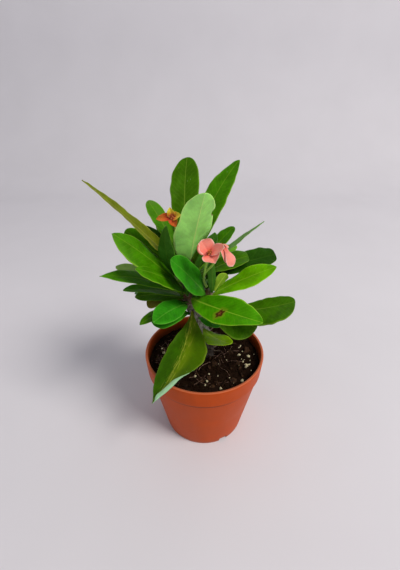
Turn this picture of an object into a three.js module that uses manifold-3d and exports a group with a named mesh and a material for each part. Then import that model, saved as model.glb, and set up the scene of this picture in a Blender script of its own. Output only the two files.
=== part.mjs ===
// A crown of thorns (Euphorbia milii hybrid) in a 120 mm nursery pot.
// Millimetres, +Z up. The origin is the middle of the pot's underside, on the surface it stands on.
// The plant's front, with its open blooms, looks along -Y, and +X is to its right.
import * as THREE from 'three';
import { mergeVertices } from 'three/addons/utils/BufferGeometryUtils.js';
import Module from 'manifold-3d';

const wasm = await Module();
wasm.setup();

// ---- Driving dimensions ----

const CLEARANCE = 0.3; // between pieces that touch
const ROOT_GAP = 1.1; // from the stem to the middle of a leaf's root
const HOLE_GROWTH = 0.8; // how much wider the stem's hole in the soil is than the stem

const POT = {
  rimRadius: 60,
  height: 94,
  bandHeight: 19, // the thicker collar under the rim
  bandDraft: 1.6, // how much the collar narrows towards its foot
  bandStep: 1.4, // the ledge where the collar meets the wall
  baseRadius: 42,
  wall: 1.6,
  lip: 2.6, // width of the flat top of the rim
  floor: 2,
  edge: 0.8, // the small bevel of every edge
  taperTop: 2, // how far below the collar's foot the wall inside starts to open out to the rim
  recess: 1.5, // the underside stands on a ring and on a boss in the middle
  ringWidth: 4,
  bossRadius: 7,
  notches: 3,
  notchTurn: -62, // where the first one is, in degrees from +X
  notchWidth: 9,
  notchHeight: 4.5,
  sides: 64,
};

const SOIL = { level: 83.5, mound: 2.2, relief: 0.9, rings: 7, sides: 40, moundRadius: 24 };

// The soil's long waves: one that crosses X and Y, and a weaker one at a slant.
const LUMPS = { alongX: 0.31, startX: 1.3, alongY: 0.27, slant: 0.7, slantX: 0.13, slantY: 0.19 };

// Each stem's axis is a height above the table, eased sideways.
const STEM = {
  buried: 56,
  soilX: 4,
  leanStart: 100,
  leanRise: 60,
  lean: -19,
  top: 197,
  footRadius: 5.6,
  topRadius: 3.4,
  forkZ: 134,
  shootTop: 174,
  shootX: 5,
  shootY: -11,
  shootFootRadius: 4.2,
  shootTopRadius: 2.9,
  shootRoot: 4, // how far below the fork the shoot starts, inside the main stem
  footTaper: 0.45, // both ends narrow to these shares of the radius
  tipTaper: 0.55,
  footReach: 14,
  tipReach: 5,
  knobs: 0.07, // relief of the leaf scars
  knobsRound: 5, // how many stand round the stem
  knobsTurn: 0.35, // how fast they wind up it, in radians per millimetre
  sides: 12,
};

const THORN = {
  lowest: 93,
  lowLength: 10,
  highLength: 6,
  radius: 0.75,
  sunk: 1.4,
  sides: 3,
  pitch: 2.6, // height from one pair to the next
  turn: 137.5, // degrees round the stem from one pair to the next
  pairSpread: 24,
  tilt: 14, // upwards
  room: 1.5, // kept free beyond the point
  shootFoot: 10, // how far above the fork the shoot's first pair is
  bareTop: 6, // the growing tip has none
};

const STALK_SIDES = 6;

// Blade outlines: the half-width follows t^base * (1 - t)^tip, t running from stalk to tip.
const OUTLINES = {
  spoon: { base: 1.15, tip: 0.5 },
  paddle: { base: 1.6, tip: 0.42 },
  egg: { base: 0.8, tip: 0.66 },
  lance: { base: 1.0, tip: 0.72 },
  blunt: { base: 1.1, tip: 0.3 },
  oval: { base: 0.5, tip: 0.6 },
  kite: { base: 1.7, tip: 1.2 },
  spear: { base: 0.62, tip: 0.95 },
  bract: { base: 0.5, tip: 0.42 },
  pointed: { base: 0.6, tip: 0.85 },
};

// One leaf. from: its height on its stem. heading: degrees from +X, anticlockwise seen from above.
// rise: its angle above the horizon where it leaves the stem. bend: how far it has turned at its
// tip. Then, where a leaf has them: roll, its turn about its own midrib, and twist, how that
// changes to the tip; sweep, its turn sideways; fold, how far its halves rise from the midrib;
// skew, how much wider its left half is, in per cent; trim, the share by which its left half is
// narrower towards the tip.
function leaf(name, stem, from, heading, rise, bend, length, width, outline, more = {}) {
  const plain = { roll: 0, twist: 0, sweep: 0, fold: 5, skew: 0, trim: 0 };
  return { ...plain, name: `leaf_${name}`, stem, from, heading, rise, bend, length, width, outline, ...more };
}

const LEAVES = [
  // The crest, round the growing point.
  leaf('crest_back', 'main', 197, 104, 75, -20, 84, 25, 'spoon', { roll: -10, sweep: -15 }),
  leaf('crest_right', 'main', 188, 35, 80, -40, 99, 21, 'lance', { roll: 28, twist: -5, skew: -5 }),
  leaf('pale_front', 'main', 197, 290, 65, 0, 70, 35, 'oval',
    { roll: 20, twist: -25, sweep: 5, fold: 15, skew: 5 }),
  leaf('left_small', 'main', 185, 150, 68, -20, 66, 17, 'spoon', { roll: -5, twist: -10 }),
  leaf('centre_dark', 'main', 176, 231, 38, 70, 61, 18, 'egg', { roll: 6, sweep: -10, fold: 0 }),
  leaf('right_fold', 'main', 181, 340, 60, 10, 46, 16, 'lance', { roll: -20, twist: -20, skew: 10 }),
  leaf('right_up', 'main', 180, 30, 45, -10, 56, 16, 'spoon', { twist: 10 }),
  leaf('right_blade', 'main', 177, 350, 47, -5, 80, 12, 'spear', { roll: -5, twist: 15 }),
  // Left side, from high to low.
  leaf('left_spear', 'main', 183, 185, 52, -5, 110, 16, 'spear', { roll: -15, sweep: 10, fold: 15 }),
  leaf('left_arch', 'main', 176, 150, 62, -60, 66, 20, 'spoon', { roll: -45, twist: -10, fold: 10 }),
  leaf('left_olive', 'main', 178, 179, 48, -15, 64, 17, 'spoon',
    { roll: -50, twist: -5, sweep: -5, skew: 5 }),
  leaf('left_broad', 'main', 163, 216, 59, -20, 86, 27, 'lance',
    { roll: -25, twist: -20, sweep: -15, fold: 0, skew: 20 }),
  leaf('left_lap', 'main', 164, 238, 50, -20, 73, 16, 'lance',
    { roll: -35, twist: -10, sweep: -5, fold: 0, skew: 30 }),
  leaf('left_tip', 'main', 173, 175, 18, -20, 64, 15, 'spoon', { roll: -5, sweep: -5, fold: 0 }),
  leaf('left_low', 'main', 160, 199, 42, -36, 78, 18, 'kite', { roll: -8, twist: -15, fold: 0, skew: -5 }),
  leaf('left_under', 'main', 157, 200, 34, -30, 57, 16, 'lance', { twist: -5, fold: 10, skew: 10 }),
  leaf('left_under_dark', 'main', 155, 189, 25, -35, 45, 18, 'lance', { roll: -10, twist: -10 }),
  leaf('left_bronze', 'main', 152, 192, 30, -60, 36, 18, 'spoon', { roll: -5, twist: -10, fold: 10 }),
  // Front, low.
  leaf('front_centre', 'side', 167, 209, 57, -10, 53, 27, 'egg', { roll: -50, sweep: 5 }),
  leaf('front_left', 'main', 151, 240, 25, -25, 52, 20, 'lance', { roll: -30, twist: -5 }),
  leaf('front_left_tip', 'main', 148, 225, 25, -35, 54, 15, 'lance'),
  leaf('front_left_low', 'main', 141, 225, 30, -50, 40, 21, 'spoon', { roll: -15, twist: -10, sweep: -10 }),
  leaf('front_hanging', 'main', 144, 267, -30, -5, 88, 43, 'kite',
    { twist: 25, sweep: -23, skew: 25, trim: 0.5 }),
  // Right side, from low to high.
  leaf('right_low', 'main', 123, 290, 10, 5, 40, 20, 'spoon', { sweep: 15, skew: -25 }),
  leaf('right_curl', 'main', 136, 300, 30, -30, 32, 12, 'spoon', { roll: 5, twist: 5, sweep: 5, skew: -10 }),
  leaf('right_shadow', 'side', 142, 340, 10, -35, 51, 30, 'spoon', { roll: 40, skew: -20 }),
  leaf('right_far', 'side', 146, 335, 8, 15, 81, 30, 'paddle',
    { roll: 30, twist: -15, sweep: 10, skew: -35 }),
  leaf('right_spotted', 'main', 157, 303, 15, -15, 76, 29, 'lance',
    { roll: 35, twist: -20, sweep: 15, fold: 10, skew: -5 }),
  leaf('right_bright', 'side', 165, 348, 38, -15, 61, 21, 'lance',
    { roll: 15, twist: 15, sweep: 5, skew: -8 }),
  leaf('young', 'side', 170, 358, 65, -10, 19, 11, 'spoon', { roll: -70 }),
  leaf('behind_bloom', 'side', 171, 290, 90, 15, 29, 7, 'egg', { twist: -15, skew: -5 }),
  leaf('right_mid', 'main', 175, 0, 36, -25, 53, 22, 'blunt', { roll: 5, twist: 10, sweep: 5 }),
  leaf('right_blunt', 'main', 172, 5, 26, -15, 77, 23, 'blunt', { roll: 20, twist: 5 }),
  // The hidden side.
  leaf('back_high', 'main', 182, 88, 60, -25, 66, 22, 'spoon'),
  leaf('back_high_left', 'main', 175, 115, 50, -30, 68, 26, 'spoon'),
  leaf('back_mid_right', 'main', 167, 45, 35, -30, 65, 25, 'lance'),
  leaf('back_mid', 'main', 164, 90, 35, -30, 76, 28, 'spoon'),
  leaf('back_mid_left', 'main', 160, 140, 30, -35, 70, 26, 'lance'),
  leaf('back_low_right', 'main', 154, 60, 15, -35, 66, 26, 'spoon'),
  leaf('back_low', 'main', 148, 110, 5, -35, 64, 24, 'lance'),
  leaf('back_low_left', 'main', 149, 160, 15, -30, 54, 19, 'spoon', { roll: 10 }),
  leaf('back_right', 'main', 146, 25, 0, -35, 61, 19, 'lance'),
];

// A bloom faces along an axis tilted from the vertical towards its heading. Its bracts spread round
// that axis: turn 0 points down the tilt, and the other entries are a leaf's.
const BLOOMS = [
  {
    name: 'bloom_salmon_cup',
    colour: 'salmon',
    at: [3, -27, 213],
    heading: 250,
    tilt: 40,
    bracts: [
      { turn: 230, rise: 30, bend: 45, length: 13, width: 15, fold: 12 },
      { turn: 40, rise: 5, bend: 20, length: 12, width: 16, fold: 22, outline: 'pointed' },
      { turn: 108, rise: 22, bend: 10, length: 14, width: 10, fold: 25 },
    ],
  },
  {
    name: 'bloom_salmon_folded',
    colour: 'salmon',
    at: [12.4, -23.4, 216.6],
    heading: 0,
    tilt: 0,
    bracts: [
      { turn: 308, rise: 8, bend: -100, length: 20, width: 10, fold: -15, outline: 'paddle' },
      { turn: 292, rise: -8, bend: -85, length: 14, width: 7, fold: 25, outline: 'oval' },
      { turn: 60, rise: 30, bend: -60, length: 7, width: 9, fold: -20 },
    ],
  },
  {
    name: 'bloom_orange',
    colour: 'orange',
    at: [-26.8, -3, 234],
    heading: 250,
    tilt: 60,
    bracts: [
      { turn: 282, rise: 10, bend: -30, length: 15, width: 7, fold: 25 },
      { turn: 195, rise: 30, bend: 0, length: 8, width: 7, fold: 25 },
      { turn: 100, rise: 20, bend: 10, length: 10, width: 7, fold: 20 },
      { turn: 32, rise: 12, bend: -20, length: 9, width: 8, fold: 20 },
    ],
  },
];

// Flower stalks: the foot of each, then the bends of its branches in turn.
const STALKS = [
  {
    name: 'stalk_salmon',
    radius: 1.1,
    branches: [
      [[1.2, -9.4, 172.5], [-1.2, -8.8, 179], [-0.6, -12.6, 188], [0.6, -20, 200], [3.2, -25, 210.6]],
      [[-1.1, -9.2, 181], [-0.4, -12.6, 188], [7, -18, 200], [12, -22.8, 213.4]],
    ],
  },
  { name: 'stalk_orange', radius: 1, branches: [[[-17, 1, 198.5], [-24, 3, 214], [-26, 0.4, 231.4]]] },
  {
    name: 'stalk_bud',
    radius: 0.8,
    branches: [[[-12.2, 4.6, 184.5], [-3, 14, 200], [6.5, 24, 217], [13.6, 31, 229.8]]],
  },
];

const BUD = { at: [15, 32, 233.5], radius: 2.1, stretch: 1.3 };

// The true flower in the middle of a bloom: a cup with glands round its rim.
const CUP = {
  radius: 1.9,
  height: 3.2,
  foot: 0.6, // shares of the radius at the foot and at the mouth
  mouth: 0.8,
  shoulder: 0.3, // shares of the height, from the middle, where it is widest and where the glands sit
  glandLevel: 0.4,
  glands: 5,
  glandRadius: 0.95,
};

// What all blades share: the ripple of their margins and the half-width of their stalks.
const WAVE = 0.08;
const RIPPLES = 1.6;
const RIPPLE_LAG = 1.3; // how far the ripple runs ahead across the blade, in radians
const STALK_HALF_WIDTH = 1.3;
const STALK_FADE = 4; // how soon the stalk's width gives way to the blade's
const FOLD_CURVE = 1.4; // 1 would fold the halves flat; more bends them up towards the margin
const TRIM = { from: 0.5, reach: 0.25 }; // where a trimmed half narrows, in t
const LEAST_HALF_WIDTH = 0.35; // at the very tip
// At the margin, and what is added.
const BLADE_THICKNESS = { margin: 0.7, midrib: 0.3, stalk: 1.1, stalkFade: 3 };

// Longer and wider leaves get more rows and columns of facets.
const LONG_LEAF = 50;
const WIDE_LEAF = 13;

const COLOURS = {
  pot: '#b3562f',
  soil: '#241812',
  stem: '#7d7466',
  leaf: '#3f8a12',
  stalk: '#7fae3c',
  salmon: '#ee7264',
  orange: '#dd5a22',
  bud: '#c08070',
};

// ---- Shape helpers ----

const degrees = THREE.MathUtils.degToRad;

function ease(u) {
  const k = Math.min(Math.max(u, 0), 1);
  return k * k * (3 - 2 * k);
}

function geometryFrom(positions, triangles) {
  const geometry = new THREE.BufferGeometry();
  geometry.setAttribute('position', new THREE.Float32BufferAttribute(positions, 3));
  geometry.setIndex(triangles);
  return geometry;
}

// A manifold-3d solid from a closed three.js geometry.
function solidFrom(geometry) {
  const bare = geometry.clone();
  bare.deleteAttribute('normal');
  bare.deleteAttribute('uv');
  const merged = mergeVertices(bare, 1e-4);
  return new wasm.Manifold(new wasm.Mesh({
    numProp: 3,
    vertProperties: new Float32Array(merged.getAttribute('position').array),
    triVerts: new Uint32Array(merged.index.array),
  }));
}

// A three.js geometry from a manifold-3d solid.
function geometryOf(solid) {
  const mesh = solid.getMesh();
  return geometryFrom(Array.from(mesh.vertProperties), Array.from(mesh.triVerts));
}

// The same, from a geometry whose faces all look outwards or all inwards.
function upright(geometry) {
  const solid = solidFrom(geometry);
  if (solid.volume() > 0) return solid;
  const index = geometry.index.array;
  for (let i = 0; i < index.length; i += 3) [index[i], index[i + 1]] = [index[i + 1], index[i]];
  return solidFrom(geometry);
}

function piece(name, geometry, colour, roughness = 0.6) {
  geometry.computeVertexNormals();
  const material = new THREE.MeshStandardMaterial({ color: colour, roughness, metalness: 0 });
  const mesh = new THREE.Mesh(geometry, material);
  mesh.name = name;
  return mesh;
}

// A closed loft through rings of equally many points, capped with a fan at each end.
function loft(rings) {
  const n = rings[0].length;
  const positions = rings.flat().flatMap((p) => [p.x, p.y, p.z]);
  const triangles = [];
  for (let i = 0; i + 1 < rings.length; i++) {
    for (let j = 0; j < n; j++) {
      const a = i * n + j;
      const b = i * n + ((j + 1) % n);
      triangles.push(a, b, b + n, a, b + n, a + n);
    }
  }
  const last = (rings.length - 1) * n;
  for (let j = 1; j + 1 < n; j++) {
    triangles.push(0, j + 1, j, last, last + j, last + j + 1);
  }
  return geometryFrom(positions, triangles);
}

// ---- Pot ----

function potRadius(z) {
  const bandFoot = POT.height - POT.bandHeight;
  const wallTop = POT.rimRadius - POT.bandDraft - POT.bandStep;
  return POT.baseRadius + ((wallTop - POT.baseRadius) * z) / bandFoot;
}

function makePot() {
  const bandFoot = POT.height - POT.bandHeight;
  const innerTop = POT.rimRadius - POT.lip;
  const ringInside = POT.baseRadius - POT.ringWidth;
  const floorTop = POT.recess + POT.floor;
  const point = (r, z) => new THREE.Vector2(r, z);
  const profile = [
    point(0, 0),
    point(POT.bossRadius, 0),
    point(POT.bossRadius + POT.edge, POT.recess),
    point(ringInside, POT.recess),
    point(ringInside + POT.edge, 0),
    point(POT.baseRadius - POT.edge, 0),
    point(POT.baseRadius, POT.edge),
    point(potRadius(bandFoot), bandFoot),
    point(POT.rimRadius - POT.bandDraft, bandFoot + POT.edge / 2),
    point(POT.rimRadius, POT.height - POT.edge),
    point(POT.rimRadius - POT.edge, POT.height),
    point(innerTop + POT.edge, POT.height),
    point(innerTop, POT.height - POT.edge),
    point(potRadius(bandFoot) - POT.wall, bandFoot - POT.taperTop),
    point(potRadius(floorTop) - POT.wall, floorTop),
    point(0, floorTop),
  ];
  let solid = solidFrom(new THREE.LatheGeometry(profile, POT.sides).rotateX(Math.PI / 2));
  for (let i = 0; i < POT.notches; i++) {
    const notch = new THREE.BoxGeometry(POT.notchWidth, POT.notchWidth, 2 * POT.notchHeight);
    notch.translate(POT.baseRadius, 0, 0);
    notch.rotateZ(degrees(POT.notchTurn) + (2 * Math.PI * i) / POT.notches);
    solid = solid.subtract(solidFrom(notch));
  }
  return geometryOf(solid);
}

// ---- Soil ----

function soilHeight(x, y) {
  const fromStem = Math.hypot(x - STEM.soilX, y) / SOIL.moundRadius;
  const mound = SOIL.mound * Math.exp(-fromStem * fromStem);
  const crossed = Math.sin(x * LUMPS.alongX + LUMPS.startX) * Math.cos(y * LUMPS.alongY);
  const slanted = LUMPS.slant * Math.sin(x * LUMPS.slantX - y * LUMPS.slantY);
  return SOIL.level + mound + SOIL.relief * (crossed + slanted);
}

// The soil's radius, a little less than the pot's inside.
function soilRadius(z) {
  const bandFoot = POT.height - POT.bandHeight;
  const foot = POT.recess + POT.floor;
  const wallTop = bandFoot - POT.taperTop;
  const lipFoot = POT.height - POT.edge;
  const footRadius = potRadius(foot) - POT.wall;
  const wallRadius = potRadius(bandFoot) - POT.wall;
  const lipRadius = POT.rimRadius - POT.lip;
  const inside = z < wallTop
    ? THREE.MathUtils.mapLinear(z, foot, wallTop, footRadius, wallRadius)
    : THREE.MathUtils.mapLinear(z, wallTop, lipFoot, wallRadius, lipRadius);
  return inside - 2 * CLEARANCE;
}

// Rings out from the middle of the top, over the edge, down the wall and in to the middle below.
function makeSoil(stemHole) {
  const positions = [0, 0, soilHeight(0, 0)];
  const foot = POT.recess + POT.floor + CLEARANCE;
  const wallTop = POT.height - POT.bandHeight - POT.taperTop;
  const ring = (radius, height) => {
    for (let j = 0; j < SOIL.sides; j++) {
      const angle = (2 * Math.PI * j) / SOIL.sides;
      const x = radius * Math.cos(angle);
      const y = radius * Math.sin(angle);
      positions.push(x, y, height ?? soilHeight(x, y));
    }
  };
  const edge = soilRadius(SOIL.level - 4 * SOIL.relief);
  for (let i = 1; i <= SOIL.rings; i++) ring((edge * i) / SOIL.rings);
  ring(soilRadius(wallTop), wallTop);
  ring(soilRadius(foot), foot);
  const rings = SOIL.rings + 2;
  const n = SOIL.sides;
  const triangles = [];
  const end = positions.length / 3;
  positions.push(0, 0, foot);
  for (let j = 0; j < n; j++) {
    const k = (j + 1) % n;
    triangles.push(0, 1 + j, 1 + k);
    triangles.push(end, 1 + (rings - 1) * n + k, 1 + (rings - 1) * n + j);
    for (let i = 0; i + 1 < rings; i++) {
      const a = 1 + i * n + j;
      const b = 1 + i * n + k;
      triangles.push(a, a + n, b + n, a, b + n, b);
    }
  }
  return geometryOf(solidFrom(geometryFrom(positions, triangles)).subtract(stemHole));
}

// ---- Stem ----

function stemAxis(stem, z) {
  const mainX = (h) => STEM.soilX + STEM.lean * ease((h - STEM.leanStart) / STEM.leanRise);
  if (stem === 'main') return new THREE.Vector3(mainX(z), 0, z);
  const k = (z - STEM.forkZ) / (STEM.shootTop - 2 - STEM.forkZ);
  const forkX = mainX(STEM.forkZ);
  return new THREE.Vector3(forkX + (STEM.shootX - forkX) * k, STEM.shootY * k, z);
}

function stemRadius(stem, z) {
  const [foot, top, low, high] = stem === 'main'
    ? [STEM.footRadius, STEM.topRadius, POT.height, STEM.top]
    : [STEM.shootFootRadius, STEM.shootTopRadius, STEM.forkZ, STEM.shootTop];
  return foot + (top - foot) * Math.min(Math.max((z - low) / (high - low), 0), 1);
}

function stemLoft(stem, low, high, steps, grow = 0) {
  const rings = [];
  for (let i = 0; i <= steps; i++) {
    const z = low + ((high - low) * i) / steps;
    const centre = stemAxis(stem, z);
    const footTaper = THREE.MathUtils.lerp(STEM.footTaper, 1, ease((z - low) / STEM.footReach));
    const tipTaper = THREE.MathUtils.lerp(STEM.tipTaper, 1, ease((high - z) / STEM.tipReach));
    const radius = stemRadius(stem, z) * Math.min(footTaper, tipTaper) + grow;
    const ring = [];
    for (let j = 0; j < STEM.sides; j++) {
      const angle = (2 * Math.PI * j) / STEM.sides;
      const knob = 1 + (grow ? 0 : STEM.knobs * Math.sin(STEM.knobsRound * angle + STEM.knobsTurn * z));
      ring.push(new THREE.Vector3(
        centre.x + radius * knob * Math.cos(angle),
        centre.y + radius * knob * Math.sin(angle),
        z,
      ));
    }
    rings.push(ring);
  }
  return loft(rings);
}

// ---- Blades: leaves and bracts ----

// Half-width of a blade at t, its stalk included.
function halfWidth(blade, t) {
  const { base, tip } = OUTLINES[blade.outline];
  const peak = base / (base + tip);
  const shape = (x) => x ** base * (1 - x) ** tip;
  const stalk = STALK_HALF_WIDTH * (1 - t) ** STALK_FADE;
  return Math.max((blade.width / 2) * (shape(t) / shape(peak)) + stalk, LEAST_HALF_WIDTH);
}

// A point of the blade's middle surface, and the direction its upper face looks.
// The stalk starts at the local origin and heads along +X, with +Z up. s runs from -1 to 1 across.
function bladePoint(blade, t, s) {
  const start = degrees(blade.rise);
  const turn = degrees(blade.bend) || 1e-4;
  const now = start + turn * t;
  const sweep = degrees(blade.sweep);
  const along = (blade.length * (Math.sin(now) - Math.sin(start))) / turn;
  const up = (-blade.length * (Math.cos(now) - Math.cos(start))) / turn;
  const tangent = new THREE.Vector3(Math.cos(now), 0, Math.sin(now));
  const roll = degrees(blade.roll + blade.twist * t);
  const side = new THREE.Vector3(0, 1, 0).applyAxisAngle(tangent, roll);
  const normal = new THREE.Vector3().crossVectors(tangent, side);
  const kept = s > 0 ? 1 - blade.trim * ease((t - TRIM.from) / TRIM.reach) : 1;
  const half = halfWidth(blade, t) * kept;
  const fold = degrees(blade.fold);
  const ripple = WAVE * Math.sin(2 * Math.PI * RIPPLES * t + RIPPLE_LAG * s);
  const lift = half * (Math.sin(fold) * Math.abs(s) ** FOLD_CURVE + ripple * s * s);
  const point = new THREE.Vector3(along, 0, up)
    .addScaledVector(side, half * Math.cos(fold) * (s + (blade.skew / 100) * s * s))
    .addScaledVector(normal, lift);
  point.applyAxisAngle(new THREE.Vector3(0, 0, 1), (sweep * point.length()) / blade.length);
  return { point, normal };
}

function bladeThickness(t, s) {
  const ridge = BLADE_THICKNESS.midrib + BLADE_THICKNESS.stalk * (1 - t) ** BLADE_THICKNESS.stalkFade;
  return BLADE_THICKNESS.margin + (1 - Math.abs(s)) * ridge;
}

// A closed blade: the same triangles on both faces, joined round the margin.
function bladeGeometry(blade, rows, columns) {
  const positions = [];
  for (const face of [1, -1]) {
    for (let i = 0; i <= rows; i++) {
      for (let j = 0; j <= columns; j++) {
        const t = i / rows;
        const s = (2 * j) / columns - 1;
        const { point, normal } = bladePoint(blade, t, s);
        const thick = bladeThickness(t, s);
        point.addScaledVector(normal, (face * thick) / 2);
        positions.push(point.x, point.y, point.z);
      }
    }
  }
  const across = columns + 1;
  const under = (rows + 1) * across;
  const triangles = [];
  const wall = (a, b) => triangles.push(a, a + under, b + under, a, b + under, b);
  for (let i = 0; i < rows; i++) {
    for (let j = 0; j < columns; j++) {
      const a = i * across + j;
      const b = a + 1;
      const c = a + across;
      const d = c + 1;
      triangles.push(a, c, d, a, d, b, a + under, d + under, c + under, a + under, b + under, d + under);
    }
    wall(i * across, (i + 1) * across);
    wall((i + 1) * across + columns, i * across + columns);
  }
  for (let j = 0; j < columns; j++) {
    wall(j + 1, j);
    wall(rows * across + j, rows * across + j + 1);
  }
  return geometryFrom(positions, triangles);
}

function makeLeaf(leaf) {
  const rows = leaf.length > LONG_LEAF ? 8 : 6;
  const columns = leaf.width > WIDE_LEAF ? 4 : 2;
  const mesh = piece(leaf.name, bladeGeometry(leaf, rows, columns), COLOURS.leaf, 0.45);
  const heading = degrees(leaf.heading);
  const out = stemRadius(leaf.stem, leaf.from) + ROOT_GAP;
  mesh.position.copy(stemAxis(leaf.stem, leaf.from));
  mesh.position.add(new THREE.Vector3(out * Math.cos(heading), out * Math.sin(heading), 0));
  mesh.rotation.z = heading;
  return mesh;
}

// ---- Blooms ----

// A round stalk through a few bends.
function stalkSolid(bends, radius) {
  const curve = new THREE.CatmullRomCurve3(bends.map((bend) => new THREE.Vector3(...bend)));
  const steps = 4 * bends.length;
  const frames = curve.computeFrenetFrames(steps, false);
  const rings = [];
  for (let i = 0; i <= steps; i++) {
    const centre = curve.getPointAt(i / steps);
    const ring = [];
    for (let j = 0; j < STALK_SIDES; j++) {
      const angle = (2 * Math.PI * j) / STALK_SIDES;
      ring.push(centre.clone()
        .addScaledVector(frames.normals[i], radius * Math.cos(angle))
        .addScaledVector(frames.binormals[i], radius * Math.sin(angle)));
    }
    rings.push(ring);
  }
  return upright(loft(rings));
}

function makeStalk(stalk) {
  const solids = stalk.branches.map((bends) => stalkSolid(bends, stalk.radius));
  return piece(stalk.name, geometryOf(solids.reduce((whole, branch) => whole.add(branch))), COLOURS.stalk);
}

function cupSolid() {
  const profile = [
    new THREE.Vector2(0, -CUP.height / 2),
    new THREE.Vector2(CUP.radius * CUP.foot, -CUP.height / 2),
    new THREE.Vector2(CUP.radius, CUP.height * CUP.shoulder),
    new THREE.Vector2(CUP.radius * CUP.mouth, CUP.height / 2),
    new THREE.Vector2(0, CUP.height * CUP.shoulder),
  ];
  let solid = solidFrom(new THREE.LatheGeometry(profile, 10).rotateX(Math.PI / 2));
  for (let i = 0; i < CUP.glands; i++) {
    const gland = new THREE.SphereGeometry(CUP.glandRadius, 6, 4);
    gland.translate(CUP.radius, 0, CUP.height * CUP.glandLevel);
    gland.rotateZ((2 * Math.PI * i) / CUP.glands);
    solid = solid.add(solidFrom(gland));
  }
  return solid;
}

function makeBloom(bloom) {
  let solid = cupSolid();
  const outline = bloom.colour === 'salmon' ? 'bract' : 'pointed';
  for (const bract of bloom.bracts) {
    const blade = { roll: 0, twist: 0, sweep: 0, skew: 0, trim: 0, outline, ...bract };
    const geometry = bladeGeometry(blade, 6, 4).rotateZ(degrees(bract.turn));
    solid = solid.add(upright(geometry));
  }
  const mesh = piece(bloom.name, geometryOf(solid), COLOURS[bloom.colour]);
  mesh.rotation.set(0, degrees(bloom.tilt), degrees(bloom.heading), 'ZYX');
  mesh.position.set(...bloom.at);
  return mesh;
}

function makeBud() {
  const geometry = new THREE.SphereGeometry(BUD.radius, 8, 6).rotateX(Math.PI / 2);
  const mesh = piece('bud_pink', geometry.scale(1, 1, BUD.stretch), COLOURS.bud);
  mesh.position.set(...BUD.at);
  return mesh;
}

// ---- Thorns ----

function worldSolid(mesh) {
  mesh.updateMatrix();
  return solidFrom(mesh.geometry.clone().applyMatrix4(mesh.matrix));
}

function thornSolid(stem, z, azimuth, length, radius) {
  const thorn = new THREE.ConeGeometry(radius, length, THORN.sides).translate(0, length / 2, 0);
  thorn.rotateZ(-Math.PI / 2 + degrees(THORN.tilt));
  thorn.translate(stemRadius(stem, z) - THORN.sunk, 0, 0);
  thorn.rotateX(Math.PI / 2);
  thorn.rotateZ(azimuth);
  const foot = stemAxis(stem, z);
  return solidFrom(thorn.translate(foot.x, foot.y, foot.z));
}

// Pairs of thorns up a spiral. One that would touch a leaf, a stalk or the soil isn't grown.
function addThorns(stemSolid, stem, low, high, neighbours) {
  let solid = stemSolid;
  const count = Math.floor((high - low) / THORN.pitch);
  for (let i = 0; i < count; i++) {
    const z = low + i * THORN.pitch;
    const length = THREE.MathUtils.lerp(THORN.lowLength, THORN.highLength, i / count);
    for (const side of [-1, 1]) {
      const azimuth = degrees(i * THORN.turn + side * THORN.pairSpread);
      const guard = thornSolid(stem, z, azimuth, length + THORN.room, THORN.radius + 2 * CLEARANCE);
      const clear = neighbours.every((other) => guard.intersect(other).volume() < 1e-6);
      if (clear) solid = solid.add(thornSolid(stem, z, azimuth, length, THORN.radius));
    }
  }
  return solid;
}

function makeStem(neighbours) {
  const main = upright(stemLoft('main', STEM.buried, STEM.top, 16));
  const shoot = upright(stemLoft('side', STEM.forkZ - STEM.shootRoot, STEM.shootTop, 6));
  const bare = main.add(shoot);
  const thorny = addThorns(bare, 'main', THORN.lowest, STEM.top - THORN.bareTop, neighbours);
  return geometryOf(addThorns(thorny, 'side', STEM.forkZ + THORN.shootFoot, STEM.shootTop - 2, neighbours));
}

// ---- Assembly ----

const leaves = LEAVES.map(makeLeaf);
const flowering = [...STALKS.map(makeStalk), ...BLOOMS.map(makeBloom), makeBud()];
const hole = upright(stemLoft('main', STEM.buried - 1, POT.height, 8, HOLE_GROWTH));
const soil = piece('soil', makeSoil(hole), COLOURS.soil, 0.95);
const pot = piece('pot', makePot(), COLOURS.pot, 0.55);
const neighbours = [...leaves, ...flowering, soil, pot].map(worldSolid);
const stem = piece('stem', makeStem(neighbours), COLOURS.stem, 0.85);

const plant = new THREE.Group();
plant.add(pot, soil, stem, ...leaves, ...flowering);

export default plant;
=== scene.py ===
"""A crown of thorns (Euphorbia milii hybrid) in its plastic nursery pot.

Sizes are in millimetres unless they say otherwise, and every mesh is written in metres.
"""
import math
from functools import partial

import bpy
import numpy as np
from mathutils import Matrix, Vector
from mathutils.bvhtree import BVHTree


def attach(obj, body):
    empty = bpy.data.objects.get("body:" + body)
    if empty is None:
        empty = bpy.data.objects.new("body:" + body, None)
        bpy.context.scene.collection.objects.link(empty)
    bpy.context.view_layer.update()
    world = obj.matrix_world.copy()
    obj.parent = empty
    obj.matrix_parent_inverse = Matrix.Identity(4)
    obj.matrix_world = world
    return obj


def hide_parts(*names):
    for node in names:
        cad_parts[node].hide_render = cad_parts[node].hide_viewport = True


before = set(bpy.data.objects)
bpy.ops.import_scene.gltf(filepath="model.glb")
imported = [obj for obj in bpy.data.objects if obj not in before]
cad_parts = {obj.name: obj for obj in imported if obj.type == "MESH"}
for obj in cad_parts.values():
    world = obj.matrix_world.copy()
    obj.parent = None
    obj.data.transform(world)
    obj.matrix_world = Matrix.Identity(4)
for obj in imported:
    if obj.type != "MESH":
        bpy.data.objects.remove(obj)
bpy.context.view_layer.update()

bl_info = {
    "name": "Crown of Thorns Plant",
    "version": (1, 0, 0),
    "blender": (4, 5, 0),
    "location": "View3D > Sidebar > Crown of Thorns",
    "description": "Builds a crown of thorns plant in a nursery pot, piece by piece",
    "category": "Object",
}

MM = 0.001
BODY = "root"

# ---------------------------------------------------------------- Driving dimensions

CLEARANCE = 0.3
ROOT_GAP = 1.1

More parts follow.
